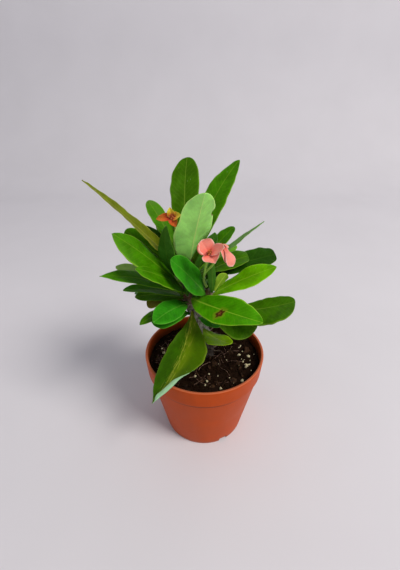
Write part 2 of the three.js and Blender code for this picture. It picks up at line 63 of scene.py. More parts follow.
POT_BAND_DRAFT = 1.6
POT_BAND_STEP = 1.4
POT_EDGE = 0.8
POT_TAPER_TOP = 2
POT_RECESS = 1.5
POT_RING = 4
POT_BOSS = 7
POT_NOTCHES = 3
POT_NOTCH_TURN = -62
POT_NOTCH_WIDTH = 9
POT_NOTCH_HEIGHT = 4.5
POT_SIDES = 256
POT_STEP = 4
POT_SHARP = 35
# Heights of the dirt round the foot, of the painted shade and dust under the collar, of the rim painted
# lighter as a highlight and by rubbing, and between which the dust inside begins and thins out.
POT_FOOT_DIRT = 10
POT_COLLAR_SHADE_AND_DUST = 73.4
POT_RIM_HIGHLIGHT_AND_RUB = (93.2, 93.8)
POT_DUST_FOOT = (76, 79)
POT_DUST = (84, 93)
# Radii at z = 0, between which the cone lies that parts the pot's inside from its outside, and its slope.
POT_CONE = (49, 49.8)
POT_CONE_SLOPE = 0.1

SOIL_MOUND = 2.2
SOIL_RELIEF = 0.9
SOIL_MOUND_RADIUS = 24
# Size and height of the shorter waves in the soil.
SOIL_CLODS = [(9, 0.5), (4, 0.35), (2, 0.2)]
SOIL_RINGS = 110
SOIL_SIDES = 220
CRUMB_SIZES = (0.45, 1.5)
CHIPS = 60
CHIP_SIZES = (1.8, 4.2)
# Count, height above the soil, gap to the wall, and middle and spread of each drift of perlite. The last
# lies all over.
PERLITE = [(13, 0.7, 4, (42, -6), (5, 9)), (9, 0.7, 4, (12, -36), (14, 6)), (12, 0.7, 5)]
FIBRES = [(34, 0.0, 14), (34, 0.0, 12, (-38, 4), (8, 14))]

# Starting numbers of the random draws.
SOIL_SEED = 11
GRAIN_SEED = 23
BARK_SEEDS = {"main": 5, "side": 6}
SPINE_SEED = 31
BLOOM_SEED = 100
SPRIG_SEED = 200

STEM_BURIED = 56
STEM_FOOT = 94
STEM_X = 4
STEM_LEAN_START = 100
STEM_LEAN_RISE = 60
STEM_LEAN = -19
STEM_TOP = 197
STEM_FOOT_RADIUS = 5.6
STEM_TOP_RADIUS = 3.4
FORK_Z = 134
SHOOT_TOP = 174
SHOOT_X = 5
SHOOT_Y = -11
SHOOT_FOOT_RADIUS = 4.2
SHOOT_TOP_RADIUS = 2.9
SHOOT_ROOT = 4
STEM_SIDES = 96
STEM_RINGS = 300
SHOOT_RINGS = 90

THORN_LOWEST = 93
THORN_SUNK = 1.4
THORN_PITCH = 2.6
THORN_TURN = 137.5
THORN_SPREAD = 24
THORN_TILT = 14
THORN_RINGS = 7
THORN_SIDES = 8
# How near a thorn's point must come to the solid stem's.
THORN_MATCH = 0.9

OUTLINES = {
    "spoon": (1.15, 0.5),
    "paddle": (1.6, 0.42),
    "egg": (0.8, 0.66),
    "lance": (1.0, 0.72),
    "blunt": (1.1, 0.3),
    "oval": (0.5, 0.6),
    "kite": (1.7, 1.2),
    "spear": (0.62, 0.95),
    "bract": (0.5, 0.42),
    "pointed": (0.6, 0.85),
}

WAVE = 0.08
RIPPLES = 1.6
LEAF_FOOT = 1.3
TRIM_FROM = 0.5
TRIM_REACH = 0.25
RAGGED = 0.024
MARGIN_WAVE = 0.3
BARK_SWELL = 1.3
BARK_SWELL_FROM = 118
# Half-width across the stem, half-width along it, and height or depth.
CUSHION = (2.6, 1.5, 0.55)
LEAF_SCAR = (1.3, 0.75, 0.35)
CRACK_DEPTH = 0.3
CRACK_WAVES = 5
# Heights between which the stem's darker foot fades out, and between which the bark turns young and brown.
BARK_DARK_FOOT = (115, 140)
BARK_YOUNG = (150, 175)

# Depth, half-width and reach towards the tip.
LEAF_GROOVE = (0.28, 0.8, 1.3)
LEAF_KEEL = (0.45, 0.9, 1.1)
SKIN_RELIEF = 0.12
# Rows along and columns across a blade, and how thick it is at its margin, middle and foot.
LEAF_ROWS = 64
LEAF_COLUMNS = 23
ROLLED_COLUMNS = 45
LEAF_THICK = (0.45, 0.45, 1.3)
SPRIG_GRID = (20, 11)
SPRIG_THICK = (0.3, 0.3, 0.5)
BRACT_GRID = (40, 31)
BRACT_THICK = (0.3, 0.25, 0.6)
NICK_AT = 0.64
VEIN_STEP = 4.0

# Stem, lowest and highest place and number of the thin young spines.
SPINES = [("main", 142, 176, 90), ("side", 142, 168, 40), ("main", 127, 146, 45)]
SPINE_RADIUS = 0.42
SPINE_RINGS = 5
SPINE_SIDES = 6


def sprig(stem, start, heading, rise, length, width):
    """A small young leaf in a leaf axil, with the same values as a leaf."""
    return leaf("", "", stem, start, heading, rise, 10, length, width, "lance", fold=12)


def leaf(name, tone, stem, start, heading, rise, bend, length, width, outline, **more):
    """One leaf: its tone names its colours, start is its height on its stem, heading is in degrees
    from +X, rise and bend give the arc of its midrib, and the rest are its turns and folds. trim is the
    share by which its left half is narrower towards its tip, nick a bite out of a margin, and flap a
    margin that has rolled up and over."""
    plain = {"roll": 0, "twist": 0, "sweep": 0, "fold": 5, "skew": 0, "trim": 0, "nick": None, "flap": None}
    return dict(plain, name=name, tone=tone, stem=stem, start=start, heading=heading, rise=rise,
                bend=bend, length=length, width=width, outline=outline, **more)


LEAVES = [
    # The crest, round the growing point.
    leaf("crest_back", "deep", "main", 197, 104, 75, -20, 84, 25, "spoon", roll=-10, sweep=-15),
    leaf("crest_right", "full", "main", 188, 35, 80, -40, 99, 21, "lance", roll=28, twist=-5, skew=-5),
    leaf("pale_front", "pale", "main", 197, 290, 65, 0, 70, 35, "oval", roll=20, twist=-25, sweep=5,
         fold=15, skew=5, nick=(1, NICK_AT, 2.4, 0.035)),
    leaf("left_small", "full", "main", 185, 150, 68, -20, 66, 17, "spoon", roll=-5, twist=-10),
    leaf("centre_dark", "dark", "main", 176, 231, 38, 70, 61, 18, "egg", roll=6, sweep=-10, fold=0),
    leaf("right_fold", "dark", "main", 181, 340, 60, 10, 46, 16, "lance", roll=-20, twist=-20, skew=10),
    leaf("right_up", "full", "main", 180, 30, 45, -10, 56, 16, "spoon", twist=10),
    leaf("right_blade", "grassy", "main", 177, 350, 47, -5, 80, 12, "spear", roll=-5, twist=15),
    # Left side, from high to low.
    leaf("left_spear", "olive", "main", 183, 185, 52, -5, 110, 16, "spear", roll=-15, sweep=10, fold=15),
    leaf("left_arch", "dark", "main", 176, 150, 62, -60, 66, 20, "spoon", roll=-45, twist=-10, fold=10),
    leaf("left_olive", "full", "main", 178, 179, 48, -15, 64, 17, "spoon", roll=-50, twist=-5, sweep=-5,
         skew=5),
    leaf("left_broad", "full", "main", 163, 216, 59, -20, 86, 27, "lance", roll=-25, twist=-20,
         sweep=-15, fold=0, skew=20),
    leaf("left_lap", "full", "main", 164, 238, 50, -20, 73, 16, "lance", roll=-35, twist=-10, sweep=-5,
         fold=0, skew=30),
    leaf("left_tip", "sage", "main", 173, 175, 18, -20, 64, 15, "spoon", roll=-5, sweep=-5, fold=0),
    leaf("left_low", "full", "main", 160, 199, 42, -36, 78, 18, "kite", roll=-8, twist=-15, fold=0,
         skew=-5),
    leaf("left_under", "full", "main", 157, 200, 34, -30, 57, 16, "lance", twist=-5, fold=10, skew=10),
    leaf("left_under_dark", "deep", "main", 155, 189, 25, -35, 45, 18, "lance", roll=-10, twist=-10),
    leaf("left_bronze", "bronze", "main", 152, 192, 30, -60, 36, 18, "spoon", roll=-5, twist=-10, fold=10),
    # Front, low.
    leaf("front_centre", "cool", "side", 167, 209, 57, -10, 53, 27, "egg", roll=-50, sweep=5),
    leaf("front_left", "cool", "main", 151, 240, 25, -25, 52, 20, "lance", roll=-30, twist=-5),
    leaf("front_left_tip", "deep", "main", 148, 225, 25, -35, 54, 15, "lance"),
    leaf("front_left_low", "cool", "main", 141, 225, 30, -50, 40, 21, "spoon", roll=-15, twist=-10,
         sweep=-10),
    leaf("front_hanging", "streaked", "main", 144, 267, -30, -5, 88, 43, "kite", twist=25, sweep=-23,
         skew=25, trim=0.5, flap=(0.62, 2.8, 1.1)),
    # Right side, from low to high.
    leaf("right_low", "lime", "main", 123, 290, 10, 5, 40, 20, "spoon", sweep=15, skew=-25),
    leaf("right_curl", "cool", "main", 136, 300, 30, -30, 32, 12, "spoon", roll=5, twist=5, sweep=5,
         skew=-10),
    leaf("right_shadow", "deep", "side", 142, 340, 10, -35, 51, 30, "spoon", roll=40, skew=-20),
    leaf("right_far", "deep", "side", 146, 335, 8, 15, 81, 30, "paddle", roll=30, twist=-15, sweep=10,
         skew=-35),
    leaf("right_spotted", "spotted", "main", 157, 303, 15, -15, 76, 29, "lance", roll=35, twist=-20,
         sweep=15, fold=10, skew=-5),
    leaf("right_bright", "bright", "side", 165, 348, 38, -15, 61, 21, "lance", roll=15, twist=15, sweep=5,
         skew=-8),
    leaf("young", "young", "side", 170, 358, 65, -10, 19, 11, "spoon", roll=-70),
    leaf("behind_bloom", "dark", "side", 171, 290, 90, 15, 29, 7, "egg", twist=-15, skew=-5),
    leaf("right_mid", "deep", "main", 175, 0, 36, -25, 53, 22, "blunt", roll=5, twist=10, sweep=5),
    leaf("right_blunt", "dark", "main", 172, 5, 26, -15, 77, 23, "blunt", roll=20, twist=5),
    # The hidden side.
    leaf("back_high", "full", "main", 182, 88, 60, -25, 66, 22, "spoon"),
    leaf("back_high_left", "full", "main", 175, 115, 50, -30, 68, 26, "spoon"),
    leaf("back_mid_right", "bright", "main", 167, 45, 35, -30, 65, 25, "lance"),
    leaf("back_mid", "full", "main", 164, 90, 35, -30, 76, 28, "spoon"),
    leaf("back_mid_left", "bright", "main", 160, 140, 30, -35, 70, 26, "lance"),
    leaf("back_low_right", "full", "main", 154, 60, 15, -35, 66, 26, "spoon"),
    leaf("back_low", "deep", "main", 148, 110, 5, -35, 64, 24, "lance"),
    leaf("back_low_left", "cool", "main", 149, 160, 15, -30, 54, 19, "spoon", roll=10),
    leaf("back_right", "deep", "main", 146, 25, 0, -35, 61, 19, "lance"),
]

# Small young leaves in the axils round the crown. Each is part of one piece.
SPRIGS = [
    sprig("main", 155, 338, 40, 15, 7), sprig("main", 157, 318, 62, 16, 6),
    sprig("main", 160, 12, 40, 14, 6), sprig("main", 161, 260, 58, 13, 5),
    sprig("side", 158, 200, 45, 12, 6), sprig("side", 156, 150, 35, 12, 6),
    sprig("main", 154, 250, 25, 12, 6), sprig("main", 166, 95, 50, 18, 7),
    sprig("side", 160, 70, 40, 16, 6), sprig("main", 156, 15, 25, 22, 9),
    sprig("main", 138, 195, 5, 14, 7),
]

# Upper side, underside and midrib of each tone, and how strongly the midrib and the margin show.
TONES = {
    "deep": ("#3c7000", "#6d9c4c", "#8aa838", 0.4, 0.35),
    "dark": ("#1f4e02", "#3f7420", "#4f7a20", 0.3, 0.4),
    "full": ("#3f8000", "#6ca83c", "#8cb030", 0.35, 0.5),
    "bright": ("#68b000", "#86b65e", "#a8d038", 0.35, 0.5),
    "cool": ("#2c8610", "#74a95c", "#68ac38", 0.4, 0.45),
    "pale": ("#448c00", "#a4e876", "#d0e888", 0.5, 0.4),
    "sage": ("#88b44c", "#94b860", "#a2c060", 0.3, 0.3),
    "olive": ("#6a7810", "#8a9434", "#a8a444", 0.4, 0.6),
    "bronze": ("#6f6a14", "#8a8040", "#98903c", 0.4, 0.4),
    "streaked": ("#346200", "#a5d8a8", "#b4bc40", 0.6, 0.12),
    "lime": ("#78a404", "#78b800", "#b0c43c", 0.4, 0.4),
    "spotted": ("#459400", "#7cab57", "#a4cc38", 0.6, 0.45),
    "grassy": ("#74a850", "#84b060", "#98bc60", 0.3, 0.3),
    "young": ("#84b018", "#8cb430", "#b5cf50", 0.3, 0.4),
}

# How much of the midrib is lost in streaks, a dry scar's place along and across its leaf and its radius, and
# where along the leaf a bite has dried.
BLEMISHES = {
    "streaked": {"broken": 0.8},
    "spotted": {"spot": (41.4, -4.2, 4.0)},
    "pale": {"bitten": NICK_AT},
}

BLOOMS = [
    {
        "name": "bloom_salmon_cup", "colour": "salmon", "at": (3, -27, 213), "heading": 250, "tilt": 40,
        "bracts": [
            {"turn": 230, "rise": 30, "bend": 45, "length": 13, "width": 15, "fold": 12,
             "flap": (0.1, 1.2, 0.8)},
            {"turn": 40, "rise": 5, "bend": 20, "length": 12, "width": 16, "fold": 22, "outline": "pointed"},
            {"turn": 108, "rise": 22, "bend": 10, "length": 14, "width": 10, "fold": 25},
        ],
    },
    {
        "name": "bloom_salmon_folded", "colour": "salmon", "at": (12.4, -23.4, 216.6), "heading": 0,
        "tilt": 0,
        "bracts": [
            {"turn": 308, "rise": 8, "bend": -100, "length": 20, "width": 10, "fold": -15,
             "outline": "paddle"},
            {"turn": 292, "rise": -8, "bend": -85, "length": 14, "width": 7, "fold": 25, "outline": "oval"},
            {"turn": 60, "rise": 30, "bend": -60, "length": 7, "width": 9, "fold": -20},
        ],
    },
    {
        "name": "bloom_orange", "colour": "orange", "at": (-26.8, -3, 234), "heading": 250, "tilt": 60,
        "bracts": [
            {"turn": 282, "rise": 10, "bend": -30, "length": 15, "width": 7, "fold": 25, "ripe": 0.2},
            {"turn": 195, "rise": 30, "bend": 0, "length": 8, "width": 7, "fold": 25, "ripe": 1.0},
            {"turn": 100, "rise": 20, "bend": 10, "length": 10, "width": 7, "fold": 20, "ripe": 0.9},
            {"turn": 32, "rise": 12, "bend": -20, "length": 9, "width": 8, "fold": 20, "ripe": 0.1},
        ],
    },
]

STALKS = [
    ("stalk_salmon", 1.1, [
        [(1.2, -9.4, 172.5), (-1.2, -8.8, 179), (-0.6, -12.6, 188), (0.6, -20, 200), (3.2, -25, 210.6)],
        [(-1.1, -9.2, 181), (-0.4, -12.6, 188), (7, -18, 200), (12, -22.8, 213.4)],
    ]),
    ("stalk_orange", 1.0, [[(-17, 1, 198.5), (-24, 3, 214), (-26, 0.4, 231.4)]]),
    ("stalk_bud", 0.8, [[(-12.2, 4.6, 184.5), (-3, 14, 200), (6.5, 24, 217), (13.6, 31, 229.8)]]),
]

STALK_RINGS = 40
STALK_SIDES = 14
# How far a tube's end bulges, in its radius.
CAP = 0.6

BUD_AT = (15, 32, 233.5)
BUD_RADIUS = 2.1
BUD_STRETCH = 1.3

# Radius and height of the parts in a bloom's middle.
CUP = (1.9, 3.4)
GLAND = (0.9, 0.9)
ANTHER = (0.3, 0.5)
STAMEN_RADIUS = 0.16

# Size, place and colour of each light, in metres.
KEY_LIGHT = (1.1, (1.6, -1.15, 2.45), "#fff8f2")
FILL_LIGHT = (1.6, (-1.6, -1.4, 1.6), "#f2f2ff")
LIGHT_TARGET = (0, 0, 0.12)
ROOM = "#dcd9e0"
ROOM_STRENGTH = 0.46
# The floor sweep's bend radius, where it starts to bend, its front edge, half its width and its top.
SWEEP = (500, 900, -1500, 2500, 2600)

CAMERA_AT = (-4.5, -260.5, 319.4)
CAMERA_DOWN = 30
FOCAL_PIXELS = 330
PICTURE_HEIGHT = 570
SENSOR = 36

# ---------------------------------------------------------------- Sizes and colours a user would change


def linear(code):
    """An sRGB hex colour as three linear values."""
    values = np.array([int(code[i:i + 2], 16) for i in (1, 3, 5)]) / 255
    return tuple(np.where(values <= 0.04045, values / 12.92, ((values + 0.055) / 1.055) ** 2.4))


def colour(name, description, code):
    """A colour property with that hex value as its default."""
    return bpy.props.FloatVectorProperty(
        name=name, description=description, subtype="COLOR", size=3, min=0, max=1, default=linear(code))


def length(name, description, value):
    """A length property whose default is given in millimetres."""
    return bpy.props.FloatProperty(
        name=name, description=description, unit="LENGTH", min=0, default=value * MM)


class PotSizes(bpy.types.PropertyGroup):
    """The nursery pot."""
    rim_radius: length("Rim radius", "From the axis to the outside of the rim", 60)
    height: length("Height", "From the table to the top of the rim", 94)
    band: length("Collar height", "Height of the thicker collar under the rim", 19)
    base_radius: length("Base radius", "From the axis to the outside of the foot", 42)
    wall: length("Wall", "Thickness of the wall", 1.6)
    lip: length("Lip", "Width of the flat top of the rim", 2.6)
    floor: length("Floor", "Thickness of the floor", 2)
    plastic: colour("Plastic", "Colour of the moulded plastic", "#b84812")


class SoilSizes(bpy.types.PropertyGroup):
    """The potting soil."""
    level: length("Level", "Height of the soil above the table", 83.5)
    peat: colour("Peat", "Colour of moist peat", "#1c0f06")
    perlite: colour("Perlite", "Colour of the perlite grains", "#d9cfa8")
    crumbs: bpy.props.IntProperty(name="Crumbs", description="How many peat crumbs lie on top", default=1500)


class StemSizes(bpy.types.PropertyGroup):
    """The stem and its thorns."""
    low_thorn: length("Low thorns", "Length of the lowest thorns", 10)
    high_thorn: length("High thorns", "Length of the highest thorns", 6)
    thorn_radius: length("Thorn radius", "Radius of a thorn at its foot", 0.75)
    bark: colour("Bark", "Colour of the old bark", "#b8b4ac")
    young_bark: colour("Young bark", "Colour of the young bark near the top", "#6e4a24")
    thorn: colour("Thorns", "Colour of the thorns", "#7c6a58")


class BloomColours(bpy.types.PropertyGroup):
    """Blooms, bud and flower stalks."""
    salmon: colour("Salmon bracts", "Colour of the salmon bracts", "#ff8c70")
    salmon_throat: colour("Salmon throat", "Colour of the salmon bracts near their foot", "#b83424")
    orange: colour("Orange bracts", "Colour of the orange bracts", "#dc4c14")
    orange_tip: colour("Orange bracts' tips", "Colour of the orange bracts' tips", "#ffec40")
    stalk: colour("Stalks", "Colour of the flower stalks", "#acd058")
    bud: colour("Bud", "Colour of the bud", "#b5766c")


class StageLook(bpy.types.PropertyGroup):
    """Floor, light and camera."""
    floor: colour("Floor", "Colour of the floor and of the sweep behind", "#d9d9de")
    key: bpy.props.FloatProperty(name="Key light", description="Power of the main light", unit="POWER",
                                 default=72)
    fill: bpy.props.FloatProperty(name="Fill light", description="Power of the fill light", unit="POWER",
                                  default=2)


# ---------------------------------------------------------------- Meshes


def grid_faces(rows, columns, first=0, round=False, flip=False):
    """Quads of a grid of rows x columns points numbered from first. round joins its last column to its
    first."""
    i = np.arange(rows - 1)[:, None]
    j = np.arange(columns if round else columns - 1)[None, :]
    k = (j + 1) % columns
    quads = np.stack([i * columns + j, i * columns + k, (i + 1) * columns + k, (i + 1) * columns + j], -1)
    quads = quads.reshape(-1, 4) + first
    return quads[:, ::-1] if flip else quads


def fan_faces(ring, centre, flip=False):
    """Triangles from each pair of neighbours on a ring of point numbers to a centre point."""
    triangles = np.stack([ring, np.roll(ring, -1), np.full(len(ring), centre)], -1)
    return triangles[:, ::-1] if flip else triangles


NO_QUADS = np.zeros((0, 4), int)
NO_TRIANGLES = np.zeros((0, 3), int)


def make_piece(name, points, quads, triangles, material, slot, replaces=(), attributes=None, smooth=True):
    """Makes an object at the origin from points in millimetres and faces as point numbers, and gives it to
    the frame. attributes are vectors that the mesh carries at its points."""
    mesh = bpy.data.meshes.new(name)
    mesh.vertices.add(len(points))
    mesh.vertices.foreach_set("co", (np.asarray(points) * MM).astype(np.float32).ravel())
    corners = np.concatenate([quads.ravel(), triangles.ravel()]).astype(np.int32)
    sizes = np.concatenate([np.full(len(quads), 4), np.full(len(triangles), 3)])
    starts = np.concatenate([[0], np.cumsum(sizes)[:-1]]).astype(np.int32)
    mesh.loops.add(len(corners))
    mesh.loops.foreach_set("vertex_index", corners)
    mesh.polygons.add(len(sizes))
    mesh.polygons.foreach_set("loop_start", starts)
    mesh.polygons.foreach_set("use_smooth", np.full(len(sizes), smooth))
    for key, values in (attributes or {}).items():
        carried = mesh.attributes.new(key, "FLOAT_VECTOR", "POINT").data
        carried.foreach_set("vector", values.astype(np.float32).ravel())
    mesh.update(calc_edges=True)
    mesh.validate()
    mesh.materials.append(material)
    piece = bpy.data.objects.new(name, mesh)
    bpy.context.scene.collection.objects.link(piece)
    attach(piece, BODY)
    if replaces:
        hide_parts(*replaces)
    return piece


def ease(u):
    """Rises smoothly from 0 at 0 to 1 at 1."""
    k = np.clip(u, 0, 1)
    return k * k * (3 - 2 * k)


def bumps(chance, x, y, size, count=9):
    """An uneven surface: a sum of sine waves of about that size, in seeded directions, from -1 to 1."""
    total = np.zeros(np.broadcast(x, y).shape)
    for _ in range(count):
        angle = chance.uniform(0, 2 * math.pi)
        wave = 2 * math.pi / (size * chance.uniform(0.7, 1.4))
        total += np.sin(wave * (x * math.cos(angle) + y * math.sin(angle)) + chance.uniform(0, 2 * math.pi))
    return total / math.sqrt(count)


def rings_about_z(radii, heights, sides):
    """Rings about the Z axis, one a row: each point is the radius times the cosine and sine of an angle, at
    the row's height."""
    angle = np.linspace(0, 2 * math.pi, sides, endpoint=False)
    return np.stack(np.broadcast_arrays(radii * np.cos(angle), radii * np.sin(angle), heights), -1)


def closed_rings(rings, ends, down=False):
    """A closed skin over rings that turn anticlockwise about the way they follow each other, shut at each
    end by a fan to a point. down is for rings that follow the other way, so that it still faces outwards."""
    rows, sides, _ = rings.shape
    n = rows * sides
    ring = np.arange(sides)
    fans = [fan_faces(ring, n, flip=not down), fan_faces(ring + n - sides, n + 1, flip=down)]
    return (np.concatenate([rings.reshape(-1, 3), ends]), grid_faces(rows, sides, round=True, flip=down),
            np.concatenate(fans))


def tube(path, radii, sides):
    """A tube of rings square to a path, with a rounded cap at each end: each ring is the path's point plus
    the radius times the cosine and sine of an angle along two directions that turn as little as possible."""
    path = np.asarray(path, float)
    tangent = np.gradient(path, axis=0)
    tangent /= np.linalg.norm(tangent, axis=1, keepdims=True)
    guide = np.array([0.0, 0.0, 1.0]) if abs(tangent[:, 2].mean()) < 0.7 else np.array([1.0, 0.0, 0.0])
    side = np.cross(tangent, guide)
    side /= np.linalg.norm(side, axis=1, keepdims=True)
    other = np.cross(tangent, side)
    angle = np.linspace(0, 2 * math.pi, sides, endpoint=False)
    radii = np.broadcast_to(radii, len(path))[:, None, None]
    out = np.cos(angle)[None, :, None] * side[:, None] + np.sin(angle)[None, :, None] * other[:, None]
    ends = [path[0] - tangent[0] * radii[0, 0] * CAP, path[-1] + tangent[-1] * radii[-1, 0] * CAP]
    return closed_rings(path[:, None] + radii * out, ends)


def curve_through(bends, steps):
    """Points of a smooth curve through the bends: on each stretch a Catmull-Rom cubic."""
    bends = np.asarray(bends, float)
    padded = np.concatenate([[2 * bends[0] - bends[1]], bends, [2 * bends[-1] - bends[-2]]])
    t = np.linspace(0, len(bends) - 1, steps)
    i = np.minimum(t.astype(int), len(bends) - 2)
    u = (t - i)[:, None]
    a, b, c, d = (padded[i + k] for k in range(4))
    return 0.5 * (2 * b + (c - a) * u + (2 * a - 5 * b + 4 * c - d) * u ** 2
                  + (3 * b - a - 3 * c + d) * u ** 3)


def joined(parts):
    """One set of points and faces from several, each a tuple of points, quads and triangles."""
    first = np.cumsum([0] + [len(points) for points, _, _ in parts])
    return (np.concatenate([points for points, _, _ in parts]),
            np.concatenate([quads + k for (_, quads, _), k in zip(parts, first)]),
            np.concatenate([triangles + k for (_, _, triangles), k in zip(parts, first)]))


# ---------------------------------------------------------------- Materials

# Settings that every node of a kind shares here.
SETTINGS = {"Mix": {"data_type": "RGBA"}, "MapRange": {"interpolation_type": "SMOOTHSTEP"}}


def give(socket, value):
    """Links an output to an input or sets its value. A colour may be a hex code or three linear numbers."""
    if isinstance(value, bpy.types.NodeSocket):
        socket.id_data.links.new(value, socket)
        return
    if isinstance(value, str):
        value = linear(value)
    socket.default_value = (*value, 1.0) if socket.type == "RGBA" else value


def add_node(tree, kind, *values, **settings):
    """Adds a node with its settings and links, and returns its first output in use. kind is the node's, or
    a Math node's operation in capitals. The values go to its inputs in use, in their order, and None leaves
    one as it is."""
    if kind.isupper():
        kind, settings = "Math", {"operation": kind}
    made = tree.nodes.new(f"ShaderNode{kind}")
    for name, value in {**SETTINGS.get(kind, {}), **settings}.items():
        setattr(made, name, value)
    for socket, value in zip([socket for socket in made.inputs if socket.enabled], values):
        if value is not None:
            give(socket, value)
    return next((socket for socket in made.outputs if socket.enabled), None)


def new_material(name):
    """An empty material, the function that adds its nodes, and the place on the piece in metres."""
    material = bpy.data.materials.new(name)
    material.use_nodes = True
    material.node_tree.nodes.clear()
    add = partial(add_node, material.node_tree)
    add("OutputMaterial", add("BsdfPrincipled", name="Surface"))
    return material, add, add("TexCoord").node.outputs["Object"]


def finish(material, skin, roughness, relief=None, depth=0.0, others=None):
    """Gives a material its colour, its roughness, a relief of that depth in millimetres and its other
    values, and returns it."""
    tree = material.node_tree
    values = {"Base Color": skin, "Roughness": roughness, **(others or {})}
    if relief:
        values["Normal"] = add_node(tree, "Bump", 1.0, depth * MM, None, relief)
    for name, value in values.items():
        give(tree.nodes["Surface"].inputs[name], value)
    return material


def mesh_values(add, name):
    """The three parts of a vector that the mesh carries at each of its points."""
    return add("SeparateXYZ", add("Attribute", attribute_name=name).node.outputs["Vector"]).node.outputs


def lumps(size, detail=3.0, roughness=0.55):
    """Scale, detail and roughness of a noise whose lumps are about size millimetres."""
    return 1 / (size * MM), detail, roughness


def shade(values, factor):
    """A colour made lighter or darker."""
    return tuple(min(v * factor, 1.0) for v in values)


def leaf_material(name, upper, lower, rib, rib_strength, margin, broken=0.0, spot=None, bitten=0.0):
    """Living leaf with a waxed skin: satin green above, paler and duller below, with a light midrib, faint
    side veins and a thin light margin. The blade attribute holds millimetres along and across and 1 for the
    upper side; the unit attribute holds t, s and a number that differs from leaf to leaf. margin is how
    strongly the margin shows, broken how much of the midrib is lost in streaks, spot a dry scar's place and
    radius, and bitten the t at which a nick in the left margin has dried brown."""
    material, add, where = new_material(name)
    along, across, top = mesh_values(add, "blade")
    t, s, own = mesh_values(add, "unit")
    mottle = add("MapRange", add("TexNoise", where, *lumps(9, 4)), 0.3, 0.7)
    grain = add("TexNoise", where, *lumps(1.2, 2))
    side = add("ABSOLUTE", across)
    edge = add("ABSOLUTE", s)
    rib_half = add("MapRange", t, 0.0, 1.0, 1.1, 0.3)
    rib_mask = add("MapRange", add("DIVIDE", side, rib_half), 0.35, 1.0, 1.0, 0.0)
    if broken:
        gaps = add("MapRange", add("TexNoise", where, *lumps(2.5, 3)), 0.4, 0.6, 1.0 - broken, 1.0)
        rib_mask = add("MULTIPLY", rib_mask, gaps)
    # Side veins leave the midrib at a slant and bend a little.
    slant = add("SUBTRACT", along, add("MULTIPLY", side, 0.95))
    wander = add("MULTIPLY", add("TexNoise", where, *lumps(7, 1)), 3.0)
    phase = add("DIVIDE", add("ADD", slant, wander), VEIN_STEP)
    vein = add("MapRange", add("PINGPONG", phase, 0.5), 0.0, 0.13, 1.0, 0.0)
    vein = add("MULTIPLY", vein, add("MapRange", edge, 0.75, 0.98, 1.0 - broken, 0.0))
    # The upper side, then the underside.
    light = add("Mix", mottle, shade(upper, 0.74), shade(upper, 1.12))
    light = add("Mix", add("MapRange", t, 0.0, 0.3, 0.35, 0.0), light, shade(rib, 0.7))
    light = add("Mix", add("MapRange", edge, 0.6, 1.0, 0.0, 0.3), light, shade(upper, 1.4))
    light = add("Mix", add("MULTIPLY", vein, 0.09), light, rib)
    if broken:
        light = add_streaks(add, light, along, across, s, rib)
    light = add("Mix", add("MULTIPLY", rib_mask, rib_strength), light, rib)
    under = add("Mix", mottle, shade(lower, 0.85), shade(lower, 1.1))
    under = add("Mix", add("MULTIPLY", vein, 0.1), under, shade(lower, 0.7))
    under = add("Mix", add("MULTIPLY", rib_mask, 0.7), under, rib)
    under = add("Mix", add("MapRange", t, 0.0, 0.35, 0.4, 0.0), under, shade(upper, 0.9))
    skin = add("Mix", top, under, light)
    # Leaf-to-leaf difference, then the thin light margin.
    skin = add("Mix", add("MULTIPLY", own, 0.2), skin, shade(upper, 0.6))
    skin = add("Mix", add("MapRange", edge, 0.9, 0.97, 0.0, margin), skin, shade(rib, 1.25))
    # A few pale flecks of lime and dust.
    fleck = add("MapRange", add("TexVoronoi", where, 1 / (5 * MM)), 0.05, 0.09, 1.0, 0.0)
    fleck = add("MULTIPLY", fleck, add("MapRange", add("TexNoise", where, *lumps(14, 1)), 0.5, 0.62))
    skin = add("Mix", add("MULTIPLY", fleck, 0.3), skin, "#b8cc98")
    if spot:
        skin = add_spot(add, skin, along, across, grain, *spot)
    if bitten:
        off = add("ABSOLUTE", add("SUBTRACT", t, bitten))
        dry = add("MULTIPLY", add("MapRange", off, 0.03, 0.07, 1.0, 0.0), add("MapRange", s, 0.86, 0.97))
        skin = add("Mix", dry, skin, "#6a5020")
    relief = add("SUBTRACT", add("MULTIPLY", grain, 0.25), add("MULTIPLY", vein, 0.2))
    relief = add("ADD", relief, add("MULTIPLY", mottle, 0.7))
    return finish(material, skin, add("MapRange", mottle, 0.0, 1.0, 0.4, 0.55), relief, 0.25, {
        "Specular IOR Level": 0.14, "Specular Tint": (1.0, 1.0, 0.45), "Subsurface Weight": 0.06,
        "Subsurface Radius": (0.4, 1.0, 0.05), "Subsurface Scale": 1.0 * MM})


def add_streaks(add, skin, along, across, s, rib):
    """An ageing leaf: one half has gone olive, and thin yellow streaks run beside the midrib."""
    inner = add("MapRange", s, -0.15, 0.2, 0.0, 0.5)
    olive = add("MULTIPLY", inner, add("MapRange", s, 0.15, 0.6, 1.0, 0.35))
    skin = add("Mix", olive, skin, "#86a010")
    lines = add("CombineXYZ", add("MULTIPLY", along, 0.12), across)
    streak = add("MapRange", add("TexNoise", lines, 0.9, 3.0), 0.52, 0.66)
    close = add("MapRange", add("ABSOLUTE", add("SUBTRACT", across, 1.0)), 1.0, 6.0, 0.7, 0.0)
    return add("Mix", add("MULTIPLY", streak, close), skin, rib)


